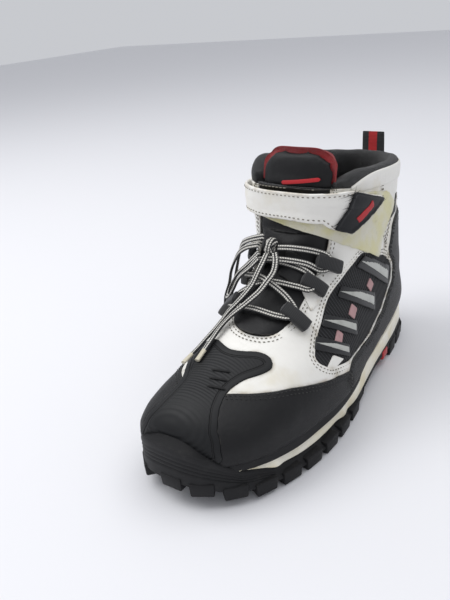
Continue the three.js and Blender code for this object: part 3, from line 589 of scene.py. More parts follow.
def softened(entries, radius):   # rounds the corners of a closed outline of drawn points
    count = len(entries)
    out = []
    for i, (kind, x, y) in enumerate(entries):
        before, after = entries[i - 1], entries[(i + 1) % count]
        here = Vector((x, y))
        if kind == "u" or before[0] != kind or after[0] != kind or radius == 0:
            out.append((kind, x, y))
            continue
        toBefore, toAfter = Vector(before[1:]) - here, Vector(after[1:]) - here
        start = here + toBefore.normalized() * min(radius, toBefore.length * 0.45)
        end = here + toAfter.normalized() * min(radius, toAfter.length * 0.45)
        for t in (0, 0.25, 0.5, 0.75, 1):
            spot = start * (1 - t) ** 2 + here * 2 * t * (1 - t) + end * t * t
            out.append((kind, spot.x, spot.y))
    return out


def flatLine(entries, closed=True, radius=4, step=1.6):   # drawn outline to points on the flattened form
    entries = softened(entries, radius) if closed else entries
    pairs = list(zip(entries, entries[1:] + entries[:1])) if closed else list(zip(entries, entries[1:]))
    out = []
    for first, second in pairs:
        if first[0] == second[0] and first[0] != "u":
            reach = math.dist(first[1:], second[1:])
            count = max(1, math.ceil(reach / step))
            spots = [onForm((first[0], first[1] + (second[1] - first[1]) * k / count,
                             first[2] + (second[2] - first[2]) * k / count)) for k in range(count)]
            out += [s for s in spots if s]
        else:
            a, b = onForm(first), onForm(second)
            if a and b:
                reach = math.hypot((a[0] - b[0]) * formSize["flatAround"],
                                   (a[1] - b[1]) * formSize["flatAlong"])
                count = max(1, math.ceil(reach / (step * 1.5)))
                out += [(a[0] + (b[0] - a[0]) * k / count,
                         a[1] + (b[1] - a[1]) * k / count) for k in range(count)]
            elif a:
                out.append(a)
    if not closed:
        last = onForm(entries[-1])
        if last:
            out.append(last)
    return np.array(out)


def insideOf(spots, outline):
    x, y = spots[:, 0], spots[:, 1]
    result = np.zeros(len(spots), bool)
    for (x0, y0), (x1, y1) in zip(outline, np.roll(outline, -1, 0)):
        if y0 == y1:
            continue
        crosses = ((y0 > y) != (y1 > y)) & (x < (x1 - x0) * (y - y0) / (y1 - y0) + x0)
        result ^= crosses
    return result


def cutFlat(outlines, spacing, region, cuts=()):
    # triangles over the flattened form, with every outline as an edge; outlines are (n, 2) arrays of (u, v)
    size = np.array([formSize["flatAround"], formSize["flatAlong"]])
    spots, edges = [], []
    for outline, closed in [(o, True) for o in outlines] + [(c, False) for c in cuts]:
        start = len(spots)
        spots += [Vector(p) for p in outline * size]
        count = len(outline)
        edges += [(start + i, start + (i + 1) % count) for i in range(count if closed else count - 1)]
    near = KDTree(len(spots))
    for i, spot in enumerate(spots):
        near.insert((spot.x, spot.y, 0), i)
    near.balance()
    low, high = np.array(region[0]) * size, np.array(region[1]) * size
    rows = int((high[1] - low[1]) / (spacing * 0.87)) + 1
    columns = int((high[0] - low[0]) / spacing) + 1
    for r in range(rows + 1):
        y = low[1] + (high[1] - low[1]) * r / rows
        for c in range(columns + 1):
            x = low[0] + (high[0] - low[0]) * (c + (0.5 if r % 2 and 0 < c < columns else 0)) / columns
            if not spots or near.find((x, y, 0))[2] > spacing * 0.55:
                spots.append(Vector((x, y)))
    points, _, faces, *_ = delaunay_2d_cdt(spots, edges, [], 0, 1e-4)
    flat = np.array([tuple(p) for p in points]) / size
    return flat, np.array([f for f in faces if len(f) == 3])


def closeToe(made):   # the smallest ring of the form is left open by the cutting; this fills it
    pick(made)
    bpy.ops.object.mode_set(mode="EDIT")
    bpy.ops.mesh.select_all(action="DESELECT")
    mesh = bmesh.from_edit_mesh(made.data)
    for edge in mesh.edges:
        edge.select = edge.is_boundary and all(v.co.y < -138 * mm and v.co.z < 45 * mm for v in edge.verts)
    mesh.select_flush(True)
    bmesh.update_edit_mesh(made.data)
    bpy.ops.mesh.edge_face_add()
    bpy.ops.mesh.poke()
    bpy.ops.mesh.select_all(action="SELECT")
    bpy.ops.mesh.normals_make_consistent(inside=False)
    bpy.ops.object.mode_set(mode="OBJECT")


def sheetPiece(name, flat, faces, height, thickness, finish, bevel=0.45, lift=None, join=False, toe=False):
    # one cut panel laid on the form at a height above it, given its thickness inward and rounded edges
    used = np.unique(faces)
    renamed = {old: new for new, old in enumerate(used)}
    spots, outward = readForm(flat[used, 0], flat[used, 1])
    rise = np.full(len(used), float(height))
    if lift is not None:
        rise = rise + lift(spots, flat[used])
    points = (spots + outward * rise[:, None]) * mm + zero
    turned = [tuple(renamed[i] for i in f) for f in faces]
    a, b, c = (spots[[f[k] for f in turned]] for k in range(3))
    facing = np.einsum("ij,ij->i", np.cross(b - a, c - a), outward[[f[0] for f in turned]])
    turned = [f if w > 0 else f[::-1] for f, w in zip(turned, facing)]
    made = meshObject(name, points, turned, finish, smooth=0)
    if join:
        mergePoints(made, 0.05)
    if toe:
        closeToe(made)
    markEdge(made)
    addModifier(made, "SOLIDIFY", thickness=thickness * mm, offset=-1)
    if bevel:
        addModifier(made, "BEVEL", width=bevel * mm, segments=2, angle_limit=math.radians(50),
                    use_clamp_overlap=False)
    shadeBy(made, 50)
    return made


def plainEdge(made, far):   # a piece with no panel edge near
    made.data.attributes.new("edge", "FLOAT", "POINT").data.foreach_set("value",
            np.full(len(made.data.vertices), far,
                                                                                         np.float32))


def markEdge(made):   # how far each point is from the panel's edge, in millimetres
    mesh = bmesh.new()
    mesh.from_mesh(made.data)
    rim = [v.co.copy() for v in mesh.verts if v.is_boundary]
    tree = KDTree(len(rim))
    for i, spot in enumerate(rim):
        tree.insert(spot, i)
    tree.balance()
    far = [min(tree.find(v.co)[2] / mm, 30) if rim else 30 for v in mesh.verts]
    mesh.free()
    made.data.attributes.new("edge", "FLOAT", "POINT").data.foreach_set("value", np.array(far, np.float32))


def patch(name, entries, height, thickness, finish, spacing=2.4, radius=3, bevel=0.4, lift=None, back=False):
    # one panel from its own outline; back=True lets it cross the middle of the back
    outline = flatLine(entries, radius=radius)
    if back:
        outline[:, 0] = np.mod(outline[:, 0], 1)
    low, high = outline.min(0) - 0.01, outline.max(0) + 0.01
    flat, faces = cutFlat([outline], spacing, (low, high))
    keep = insideOf(flat[faces].mean(1), outline)
    return sheetPiece(name, flat, faces[keep], height, thickness, finish, bevel, lift)


def ribbon(name, path, flatward, width, thickness, finish, sides=12, squareness=2.4, rounding=0.0,
           closed=False):
    # tube of oval section along path; flatward gives the direction its flat face looks at each point,
    # rounding is the length over which each end closes in
    path = np.asarray(path, float)
    count = len(path)
    along = np.gradient(path, axis=0)
    along /= np.linalg.norm(along, axis=1, keepdims=True)
    face = flatward - along * np.einsum("ij,ij->i", flatward, along)[:, None]
    face /= np.linalg.norm(face, axis=1, keepdims=True)
    across = np.cross(along, face)
    run = np.concatenate([[0], np.cumsum(np.linalg.norm(np.diff(path, axis=0), axis=1))])
    angle = np.linspace(0, 2 * np.pi, sides, endpoint=False)
    c, s = np.cos(angle), np.sin(angle)
    wide = np.sign(c) * np.abs(c) ** (2 / squareness) * width / 2
    tall = np.sign(s) * np.abs(s) ** (2 / squareness) * thickness / 2
    swell = np.ones(count)
    if rounding:
        near = np.clip(np.minimum(run, run[-1] - run) / rounding, 0, 1)
        swell = 0.25 + 0.75 * np.sqrt(1 - (1 - near) ** 2)
    wider, taller = (swell[:, None, None] * part[None, :, None] for part in (wide, tall))
    points = path[:, None] + across[:, None] * wider + face[:, None] * taller
    faces = []
    for i in range(count if closed else count - 1):
        for k in range(sides):
            a, b = i * sides + k, i * sides + (k + 1) % sides
            c, d = ((p + sides) % (count * sides) for p in (a, b))
            faces.append((a, c, d, b))
    if not closed:
        faces += [tuple(range(sides)), tuple(reversed(range((count - 1) * sides, count * sides)))]
    shared = {"across": np.tile(wide / (width / 2), count), "run": np.repeat(run, sides)}
    made = meshObject(name, points.reshape(-1, 3) * mm + zero, faces, finish, shared, 0)
    faceOut(made)
    shadeBy(made, 50)
    return made


def awayFromForm(path):   # outward direction of the form nearest to each point
    out = []
    for spot in path:
        hit = formSurface.find_nearest(Vector(spot))
        u, v = whereOnForm(hit[0], hit[2])
        out.append(readForm([u], [v])[1][0])
    return np.array(out)


# Lacing, first of all the free ends

laceSize = {"width": 4.7, "thickness": 2.2, "declared": 4.4}
freeCords = {
    "bow_loop_medial": [
        (-12.5, -21, 139), (-21, -21.5, 136.5), (-30, -18, 132), (-39.5, -10, 124.5), (-46, -5, 114),
                        (-49.5, -4, 104),
        (-51, -6, 94), (-51.5, -11, 84), (-50.5, -18, 78), (-48.5, -24.5, 79), (-48, -24, 87), (-47, -19.5, 96),
        (-46.5, -16.5, 105), (-43, -15, 114), (-36, -18.5, 122.5), (-27, -21.5, 129), (-15, -24, 133.5)],
    "bow_loop_front": [
        (-13.5, -26.5, 128.5), (-19, -29, 122.5), (-23.5, -29.5, 118), (-30, -29.5, 112), (-36, -28.5, 104),
        (-39.5, -29.5, 97), (-38.5, -35, 93), (-34, -38, 95.5), (-31, -37, 101), (-28, -35, 108),
                       (-23, -35, 114),
        (-17, -34, 119.5), (-11.5, -30.5, 126)],
    "lace_end_a": [
        (-5.5, -29, 129.5), (-5.5, -33.5, 126), (-6.5, -39, 120.5), (-8.5, -45, 112.5), (-11, -52, 107),
                   (-15, -57, 101.5),
        (-20, -60, 95.5), (-24, -63, 89.5), (-28, -67, 83.5), (-30.5, -74.5, 79), (-32, -82, 75.5),
                   (-32, -91, 74)],
    "lace_end_b": [
        (1, -28.5, 131), (3.5, -32, 127), (4.5, -37, 121), (2.5, -43.5, 115.5), (-0.5, -49, 110),
                   (-4, -54.5, 106),
        (-8, -58.5, 102), (-14, -62, 96.5), (-19.5, -64.5, 90.5), (-22.5, -69, 86), (-23.5, -77, 81.5),
                   (-23.5, -87, 77.5)],
}
lacePath = [
    (-18, -16.5, 131.5), (-26, -11.5, 128.5), (-34, -5, 123), (-36, -4, 116.5), (-31, -9.5, 114),
            (-22, -16, 117.5),
    (-3, -22.5, 122.5), (17, -19, 118), (24.5, -17.5, 112.5), (27.5, -20, 108.5), (25, -25, 106.5),
            (17.5, -29, 109),
    (-3.5, -35, 111.5), (-22.5, -39, 102), (-29, -44, 95.5), (-28, -47.5, 95), (-18.5, -52, 97), (-2, -54, 99),
    (14.5, -51.5, 96), (22, -48, 95), (24, -43, 96.5), (15.5, -39, 104.5), (-3.5, -38.5, 115.5),
            (-23.5, -27, 110),
    (-30.5, -20, 107), (-32, -16, 108), (-24, -19, 117), (-3, -27, 125.5), (18.5, -16.5, 121.5),
            (27, -10, 115.5),
    (31.5, -4.5, 117), (29.5, -3.5, 123.5), (21.5, -9, 128.5), (8, -17.5, 132), (-1, -20.5, 132)]


def evenly(points, step):   # smooth curve through points, cut in equal steps
    fine = smoothThrough(points, np.linspace(0, 1, 40 * len(points)))
    run = np.concatenate([[0], np.cumsum(np.linalg.norm(np.diff(fine, axis=0), axis=1))])
    marks = np.linspace(0, run[-1], max(3, round(run[-1] / step) + 1))
    return np.stack([np.interp(marks, run, fine[:, k]) for k in range(3)], 1)


def blurred(rows, times):
    for _ in range(times):
        rows = np.vstack([rows[:1], (rows[:-2] + rows[1:-1] * 2 + rows[2:]) / 4, rows[-1:]])
    return rows


for name in ("a", "b"):
    points = np.array(freeCords[f"lace_end_{name}"], float)[-2:]
    line = (points[1] - points[0]) / np.linalg.norm(points[1] - points[0])
    lengthwise = points[1] + line * np.linspace(-0.6, 9.3, 12)[:, None]
    tip = ribbon(f"lace_tip_{name}_moulded", lengthwise, awayFromForm(lengthwise), 4.2, 2.4, tipPlastic)
    finishPiece(tip, "boot", "tip_plastic", f"lace_tip_{name}")

for name, drawn in freeCords.items():
    path = evenly(drawn, 1.5)
    looksOut = blurred(awayFromForm(path), 12)
    made = ribbon(f"{name}_braid", path, looksOut, laceSize["width"], laceSize["thickness"], laceBraid)
    finishPiece(made, "boot", "lace_fabric", name)
    points = [tuple(Vector(p) * mm + drawingStart) for p in evenly(drawn, 5)]

path = evenly(lacePath, 1.5)
threaded = ribbon("lace_braid", path, blurred(awayFromForm(path), 10), laceSize["width"], laceSize["thickness"],
                  laceBraid)
finishPiece(threaded, "boot", "lace_fabric", "lace")
print("laces laid")


# Upper: one skin over the form, cut into its panels

def curveOf(points):   # smooth height along the boot, from a few (y, z) points
    ys, zs = np.array(points, float).T

    def read(y):
        y = np.clip(y, ys[0], ys[-1])
        i = np.clip(np.searchsorted(ys, y, side="right") - 1, 0, len(ys) - 2)
        low, high = np.maximum(i - 1, 0), np.minimum(i + 2, len(ys) - 1)
        span, rise = ys[i + 1] - ys[i], zs[i + 1] - zs[i]
        go = (zs[i + 1] - zs[low]) / (ys[i + 1] - ys[low])
        end = (zs[high] - zs[i]) / (ys[high] - ys[i])
        t = (y - ys[i]) / span
        return zs[i] + rise * t + t * (1 - t) * ((1 - t) * (go * span - rise) - t * (end * span - rise))
    return read


bandFront = -131
toeSpring = curveOf([(-152, 13), (-138, 7), (-120, 3), (-100, 0.8), (-78, 0), (152, 0)])
bandLow = curveOf([(-132, 24), (-98, 14), (-50, 11), (-10, 11), (40, 15), (85, 17), (152, 18)])
bandHigh = curveOf([(-132, 29), (-98, 26), (-50, 23), (-10, 26), (40, 29), (85, 31), (118, 33), (152, 35)])
bumperTop = curveOf([(-152, 46), (-141, 36), (-132, 28), (152, 28)])


def soleTop(y):
    return np.where(np.asarray(y) < bandFront, bumperTop(y), bandHigh(y))


def rimAt(kind, place, height):   # the point on the rim above a drawn point
    return ("u", onForm((kind, place, height))[0], 1.0)


throat = [rimAt("f", 27, 160), ("f", 27, 150), ("f", 26.5, 134), ("f", 25, 121), ("t", 23, -22), ("t", 22, -44),
          ("t", 18, -58),
          ("t", 9, -65), ("t", -3, -67), ("t", -14, -63), ("t", -21, -52), ("t", -24, -36), ("t", -27, -16),
          ("f", -28, 124),
          ("f", -29, 138), ("f", -29, 150), rimAt("f", -29, 160)]
toeCap = [("t", -31, -73), ("t", -21, -74), ("t", -12, -79), ("t", -5, -81), ("t", 4, -79), ("t", 14, -74),
          ("t", 22, -73),
          ("t", 26, -78), ("t", 22, -86), ("t", 14, -96), ("t", 9, -108), ("t", 11, -121), ("t", 16, -131),
          ("f", 20, 46),
          ("f", 22, 38), ("u", 0.45, 0), ("u", -0.45, 0), ("f", -42, 38), ("f", -38, 46), ("t", -33, -131),
          ("t", -28, -121),
          ("t", -26, -110), ("t", -33, -96), ("t", -39, -86), ("t", -39, -78)]


def bySide(drawn, side):   # the same outline on the outer (1) or the inner (-1) side
    kind = "s" if side > 0 else "m"
    return [(kind, p[0], p[1]) if len(p) == 2 else ("u", p[1] * side, p[2]) if p[0] == "u" else rimAt(kind,
            p[1], p[2])
            for p in drawn]


mudguard = [("u", 0.0, 0.16), (-103, 65), (-78, 61), (-50, 53), (-28, 48), (-20, 46), (-18, 40), (-18, 27),
            ("u", 0.5, 0.41),
            ("u", 0.5, 0.0), ("u", 0.0, 0.0)]
sideWindow = [(-52, 68), (-42, 58), (-16, 52), (24, 50), (62, 57), (86, 70), (91, 84), (76, 97), (36, 115),
              (6, 103),
              (-8, 98), (-25, 87)]
heelPanel = [("u", 0.5, 0.43), (-22, 30), (-30, 42), (-22, 46), (-15, 51.4), (24, 49), (62, 56), (87, 69.6),
             (93, 84),
             (80, 98), (92, 122), (110, 130), (130, 108), ("u", 0.5, 0.83)]
anklePanel = [(74, 98.6), (86, 128), (108, 138), (130, 118), ("u", 0.5, 0.85), ("u", 0.5, 1.0),
              ("rim", 62, 156), (62, 150)]

cuts = {"toeCap": flatLine(toeCap, radius=5), "tongue": flatLine(throat, radius=6)}
for side, word in ((1, "Lateral"), (-1, "Medial")):
    cuts["mudguard" + word] = flatLine(bySide(mudguard, side), radius=4)
    cuts["window" + word] = flatLine(bySide(sideWindow, side), radius=7)
    cuts["heel" + word] = flatLine(bySide(heelPanel, side), radius=6)
    cuts["ankle" + word] = flatLine(bySide(anklePanel, side), radius=8)
seamLines = [flatLine([(kind, -36, 44), (kind, -36, 98)], closed=False) for kind in ("s", "m")]


def regionOf(flat):
    found = np.full(len(flat), "", dtype=object)
    for name, outline in cuts.items():
        found[(found == "") & insideOf(flat, outline)] = name
    spots = readForm(flat[:, 0], flat[:, 1])[0]
    rest = found == ""
    found[rest & (spots[:, 1] < -36)] = "vamp"
    found[rest & (spots[:, 1] >= -36)] = np.where(flat[rest & (spots[:, 1] >= -36), 0] > 0, "quarterLateral",
                                                  "quarterMedial")
    found[(found != "toeCap") & (spots[:, 2] < soleTop(spots[:, 1]) - 10)] = "hidden"
    return found


def folds(spots, size, depth, seed=0.0):
    return np.array([noise.noise(Vector(p) / size + Vector((seed, seed, seed))) for p in spots]) * depth


def flexCreases(spots, flat):   # the vamp folds across the ball of the foot
    amount = np.exp(-((spots[:, 1] + 62) / 20) ** 2)
    ripple = np.array([noise.noise(Vector((p[0] / 45, p[1] / 9, p[2] / 30))) for p in spots])
    return folds(spots, 18, 0.5) + amount * ripple * 1.3


def tongueSwell(spots, flat):
    centre = np.clip(1 - (spots[:, 0] + 1) ** 2 / 26 ** 2, 0, 1)
    puff = 1.1 * np.cos(spots[:, 2] / 11 * np.pi) * centre
    return 2.2 * np.sqrt(centre) + puff + folds(spots, 9, 0.8) - np.where(spots[:, 2] > 138, 1.6, 0) * centre


panelSpec = {
    "toeCap": ("toe_cap_pressed", "toe_cap", 1.0, 1.7, toeRubber, "ribbed_black", lambda s,
               f: folds(s, 30, 0.3)),
    "tongue": ("tongue_padded", "tongue", -1.5, 1.2, tongueLeather, "black_leather", tongueSwell),
    "mudguardLateral": ("mudguard_lateral_cut", "mudguard_lateral", 0.75, 1.5, blackLeather, "black_leather",
                        lambda s, f: folds(s, 22, 0.5)),
    "mudguardMedial": ("mudguard_medial_cut", "mudguard_medial", 0.75, 1.5, blackLeather, "black_leather",
                       lambda s, f: folds(s, 22, 0.5)),
    "windowLateral": ("window_mesh_lateral_ribbed", "window_mesh_lateral", -0.8, 0.8, windowMesh, "mesh_fabric",
                      None),
    "windowMedial": ("window_mesh_medial_ribbed", "window_mesh_medial", -0.8, 0.8, windowMesh, "mesh_fabric",
                     None),
    "heel": ("heel_panel_cut", "heel_panel", 0.75, 1.5, blackLeather, "black_leather", lambda s,
             f: folds(s, 25, 0.4)),
    "ankle": ("ankle_panel_cut", "ankle_panel", 0.1, 1.5, whiteLeather, "white_leather", lambda s,
              f: folds(s, 16, 0.9)),
    "vamp": ("vamp_cut", "vamp", 0.0, 1.5, whiteLeather, "white_leather", flexCreases),
    "quarterLateral": ("quarter_lateral_cut", "quarter_lateral", 0.1, 1.5, whiteLeather, "white_leather",
                       lambda s, f: folds(s, 14, 0.7)),
    "quarterMedial": ("quarter_medial_cut", "quarter_medial", 0.1, 1.5, whiteLeather, "white_leather", lambda s,
                      f: folds(s, 14, 0.7)),
}


def cutUpper():
    backSeam = [np.array([(side, v) for v in np.linspace(0, 1, 160)]) for side in (-0.5, 0.5)]
    flat, faces = cutFlat(list(cuts.values()), 2.5, ((-0.5, 0.0), (0.5, 1.0)), seamLines + backSeam)
    inRange = (np.abs(flat[:, 0]) <= 0.5005) & (flat[:, 1] >= 0) & (flat[:, 1] <= 1)
    faces = faces[inRange[faces].all(1)]
    region = regionOf(flat[faces].mean(1))
    region = np.array([str(r).replace("heelLateral", "heel").replace("heelMedial",
                                                                     "heel").replace("ankleLateral", "ankle")
                       .replace("ankleMedial", "ankle") for r in region])
    for key, (name, node, height, thickness, finish, slot, lift) in panelSpec.items():
        joins = key in ("heel", "ankle", "toeCap")
        made = sheetPiece(name, flat, faces[region == key], height, thickness, finish, 0.45, lift, joins,
                          key == "toeCap")
        finishPiece(made, "boot", slot, node)
        print(name, len(made.data.polygons))


cutUpper()
print("upper cut")


# Seams

def stitchRows(name, outline, insets, regions, thread, closed=True, pitch=3.1, length=1.9, rise=0.55,
               height=0.0):
    # rows of short threads along a flat outline, shifted inward by each inset (outward where it is negative)
    spots, outward = readForm(outline[:, 0], outline[:, 1])
    ahead = np.roll(spots, -1, 0) - np.roll(spots, 1, 0) if closed else np.gradient(spots, axis=0)
    ahead /= np.linalg.norm(ahead, axis=1, keepdims=True)
    x, y = outline[:, 0], outline[:, 1]
    turn = 1 if np.sum(x * np.roll(y, -1) - y * np.roll(x, -1)) > 0 else -1
    inward = np.cross(outward, ahead) * turn
    points, faces = [], []
    ring = [(-0.5, 0, 0), (-0.3, 0.5, 0), (-0.3, 0, 1), (-0.3, -0.5, 0), (0.3, 0.5, 0), (0.3, 0, 1),
            (0.3, -0.5, 0), (0.5, 0, 0)]
    bead = [(0, 2, 1), (0, 3, 2), (1, 2, 5, 4), (2, 3, 6, 5), (4, 5, 7), (5, 6, 7), (0, 1, 4, 7, 6, 3)]
    for inset in insets:
        line = spots + inward * inset
        line = np.vstack([line, line[:1]]) if closed else line
        run = np.concatenate([[0], np.cumsum(np.linalg.norm(np.diff(line, axis=0), axis=1))])
        marks = np.arange(pitch / 2, run[-1], pitch)
        middle = np.stack([np.interp(marks, run, line[:, k]) for k in range(3)], 1)
        later = np.stack([np.interp(marks + 0.5, run, line[:, k]) for k in range(3)], 1)
        flat = []
        for spot in middle:
            hit = formSurface.find_nearest(Vector(spot))
            flat.append(whereOnForm(hit[0], hit[2]))
        flat = np.array(flat)
        found = regionOf(flat)
        base, normal = readForm(flat[:, 0], flat[:, 1])
        for i, where in enumerate(found):
            if regions and where not in regions:
                continue
            forward = later[i] - middle[i]
            forward = forward - normal[i] * np.dot(forward, normal[i])
            size = np.linalg.norm(forward)
            if size < 1e-6:
                continue
            forward /= size
            cross = np.cross(normal[i], forward)
            first = len(points)
            top = height or heights.get(where, 0)
            for a, b, c in ring:
                along = forward * a * length + cross * b * 0.75
                points.append(base[i] + along + normal[i] * (top + c * rise - 0.15))
            faces += [tuple(first + k for k in f) for f in bead]
    if not points:
        return None
    return meshObject(name, np.array(points) * mm + zero, faces, thread, smooth=60)


heights = {"vamp": 0.25, "quarterLateral": 0.3, "quarterMedial": 0.3, "ankleLateral": 0.35, "ankleMedial": 0.35,
           "mudguardLateral": 0.95, "mudguardMedial": 0.95, "heelLateral": 0.95, "heelMedial": 0.95,
           "toeCap": 1.1}
white = ("vamp", "quarterLateral", "quarterMedial")
black = ("mudguardLateral", "mudguardMedial", "heelLateral", "heelMedial")
seams = [("throat_stitches", "tongue", (-2.0, -4.6), white, seamThread)]
for word in ("Lateral", "Medial"):
    seams += [(f"window_stitches_{word.lower()}", "window" + word, (-1.8, -4.2), white, seamThread),
              (f"mudguard_stitches_{word.lower()}", "mudguard" + word, (1.8, 4.2), black, darkThread),
              (f"heel_stitches_{word.lower()}", "heel" + word, (1.8, 4.0), black, darkThread),
              (f"ankle_stitches_{word.lower()}", "ankle" + word, (1.6, 3.8), ("ankle" + word,), seamThread)]
for name, outline, insets, regions, thread in seams:
    made = stitchRows(name, cuts[outline], insets, regions, thread)
    if made:
        finishPiece(made, "boot", "white_leather" if thread is seamThread else "black_leather")
print("seams sewn")


# Sole

soleOuter = [(-15, -152), (0, -151), (13, -146), (35, -125), (47, -98), (54, -69), (56, -41), (54, -12),
             (50, 16), (46, 44),
             (44, 73), (41, 102), (34, 130), (15, 148), (-5, 152)]
soleInner = [(-15, -152), (-28, -150), (-41, -142), (-54, -119), (-58, -91), (-56, -62), (-49, -34), (-43, -7),
             (-40, 22),
             (-40, 50), (-44, 78), (-46, 107), (-41, 135), (-24, 149), (-5, 152)]
sole = {"treadDepth": 5.5, "heelDepth": 8, "waistUnder": 9.5, "breastFront": 12, "breastBack": 80, "step": 2.2,
        "ridgeDepth": 0.45, "bandRaise": 0.8}


def solePlan():   # closed line round the sole, toe to heel by the outer side and back, with outward directions
    outer = evenly([(x, y, 0) for x, y in soleOuter], sole["step"])
    inner = evenly([(x, y, 0) for x, y in soleInner], sole["step"])
    line = np.vstack([outer, inner[::-1][1:-1]])
    for _ in range(3):
        line = (np.roll(line, 1, 0) + line * 2 + np.roll(line, -1, 0)) / 4
    ahead = np.roll(line, -1, 0) - np.roll(line, 1, 0)
    outward = np.stack([ahead[:, 1], -ahead[:, 0], 0 * ahead[:, 0]], 1)
    return line, outward / np.linalg.norm(outward, axis=1, keepdims=True)


planLine, planOut = solePlan()


def groundAt(y):
    return np.maximum(toeSpring(y), 0)


def deckAt(y):   # underside of the sole between the lugs
    waist = np.clip((y - sole["breastFront"]) / 1.5, 0, 1) * np.clip((sole["breastBack"] - y) / 1.5, 0, 1)
    plain = np.where(y > (sole["breastFront"] + sole["breastBack"]) / 2, sole["heelDepth"], sole["treadDepth"])
    return groundAt(y) + plain * (1 - waist) + sole["waistUnder"] * waist


def gapToForm(z, inset=0.0):   # how far in from the plan line the upper's skin lies, at height z
    far = []
    for spot, outward, height in zip(planLine, planOut, z):
        start = Vector((spot[0] + outward[0] * 6, spot[1] + outward[1] * 6, height))
        hit = formSurface.ray_cast(start, Vector(-outward))
        far.append(-(6 - hit[3]) if hit[0] is not None and hit[3] < 26 else -14.0)
    far = np.array(far)
    for _ in range(4):
        far = (np.roll(far, 1) + far * 2 + np.roll(far, -1)) / 4
    return -np.abs(far) + inset


def ringMesh(name, rows, finish, openEnds=False):
    # rows of points round the sole, each (n, 3); openEnds closes each section on itself and caps the two ends
    rows = np.array(rows)
    count, size = rows.shape[0], rows.shape[1]
    faces = []
    if openEnds:
        for j in range(count):
            for i in range(size - 1):
                a, b = j * size + i, (j + 1) % count * size + i
                faces.append((a, a + 1, b + 1, b))
        faces += [tuple(j * size for j in range(count)),
                  tuple(j * size + size - 1 for j in reversed(range(count)))]
    else:
        for j in range(count - 1):
            for i in range(size):
                a, b = j * size + i, j * size + (i + 1) % size
                faces.append((a, b, b + size, a + size))
        faces += [tuple(reversed(range(size))), tuple((count - 1) * size + i for i in range(size))]
    made = meshObject(name, rows.reshape(-1, 3) * mm + zero, faces, finish, smooth=0)
    faceOut(made)
    shadeBy(made, 35)
    return made


def atOffset(offset, z):
    out = planLine + planOut * np.broadcast_to(offset, len(planLine))[:, None]
    out[:, 2] = z
    return out


def leanIn():   # how far the top of the sole wall moves in, to meet the upper
    y = planLine[:, 1]
    gap = gapToForm(bandHigh(y) - 1, 0.0)
    move = np.clip(gap + 2.6, -10, 0) * np.clip((y - bandFront + 12) / 14, 0, 1)
    for _ in range(6):
        move = (np.roll(move, 1) + move * 2 + np.roll(move, -1)) / 4
    return move


def makeOutsole():
    y = planLine[:, 1]
    lean = leanIn() * 0.62
    base = deckAt(y)
    top = np.where(y < bandFront, bumperTop(y), bandLow(y))
    for _ in range(2):
        top = (np.roll(top, 1) + top * 2 + np.roll(top, -1)) / 4
    front = np.clip((-92 - y) / 25, 0, 1)
    rows = [atOffset(-5, base), atOffset(-0.7, base), atOffset(0, base + 0.7)]
    height = top - base
    for k in range(1, 24):   # four ridge lines round the toe, a fine lip line further back
        share = k / 24
        groove = sum(math.exp(-((share - line) / 0.022) ** 2) for line in (0.42, 0.55, 0.68, 0.81))
        rows.append(atOffset(lean * share - sole["ridgeDepth"] * groove * (0.25 + front * 1.1),
                             base + 0.7 + (height - 1.4) * share))
    inside = gapToForm(top, 0.4)
    rows += [atOffset(lean - 0.15, top - 0.6), atOffset(lean - 0.8, top),
             atOffset(np.minimum(inside, lean - 1.6), top + 0.2),
             atOffset(np.minimum(inside - 3, -5), top - 5), atOffset(np.minimum(inside - 4, -6),
                                                                     np.minimum(top - 8, 15))]
    return ringMesh("outsole_moulded", rows, treadRubber)


def makeBand():
    y = planLine[:, 1]
    span = np.flatnonzero(y >= bandFront)
    start = np.flatnonzero(np.diff(span) > 1)
    order = np.concatenate([span[start[0] + 1:], span[:start[0] + 1]]) if len(start) else span
    low, high = bandLow(y), bandHigh(y)
    share = np.minimum(np.arange(len(order)), np.arange(len(order))[::-1]) * sole["step"] / 16
    close = np.ones(len(y))
    close[order] = np.clip(share, 0.12, 1)
    middle = (low + high) / 2 - (1 - close) * 1.5
    low, high = middle - (high - low) / 2 * close, middle + (high - low) / 2 * close
    lean = leanIn()
    foot = sole["bandRaise"] + lean * 0.62
    out = sole["bandRaise"] + lean
    inside = np.minimum(gapToForm(high, 0.3), out - 2.3)
    section = [(inside - 4, high - 5), (inside - 1, high + 0.3), (out - 1.5, high), (out - 0.35, high - 0.4),
               (out, high - 1.3),
               ((out + foot) / 2 + 0.12, (high + low) / 2), (foot, low + 1.1), (foot - 0.4, low + 0.3),
               (foot - 1.6, low - 0.1),
               (foot - 7, low)]
    return ringMesh("midsole_band", [atOffset(o, z)[order] for o, z in section], creamRubber, openEnds=True)


welt = {"under": 0.9, "above": 5, "below": 4, "wall": 3}


def makeWelt():   # the folded-in foot of the upper, which closes the line between leather and sole
    y = planLine[:, 1]
    high = np.where(y < bandFront, bumperTop(y), bandHigh(y))
    for _ in range(3):
        high = (np.roll(high, 1) + high * 2 + np.roll(high, -1)) / 4
    outer = gapToForm(high + welt["above"], -welt["under"])
    inner, top, bottom = outer - welt["wall"], high + welt["above"], high - welt["below"]
    rows = [atOffset(outer, bottom), atOffset(outer, top), atOffset(inner, top), atOffset(inner, bottom - 0.6)]
    return ringMesh("welt_folded", rows, treadRubber)


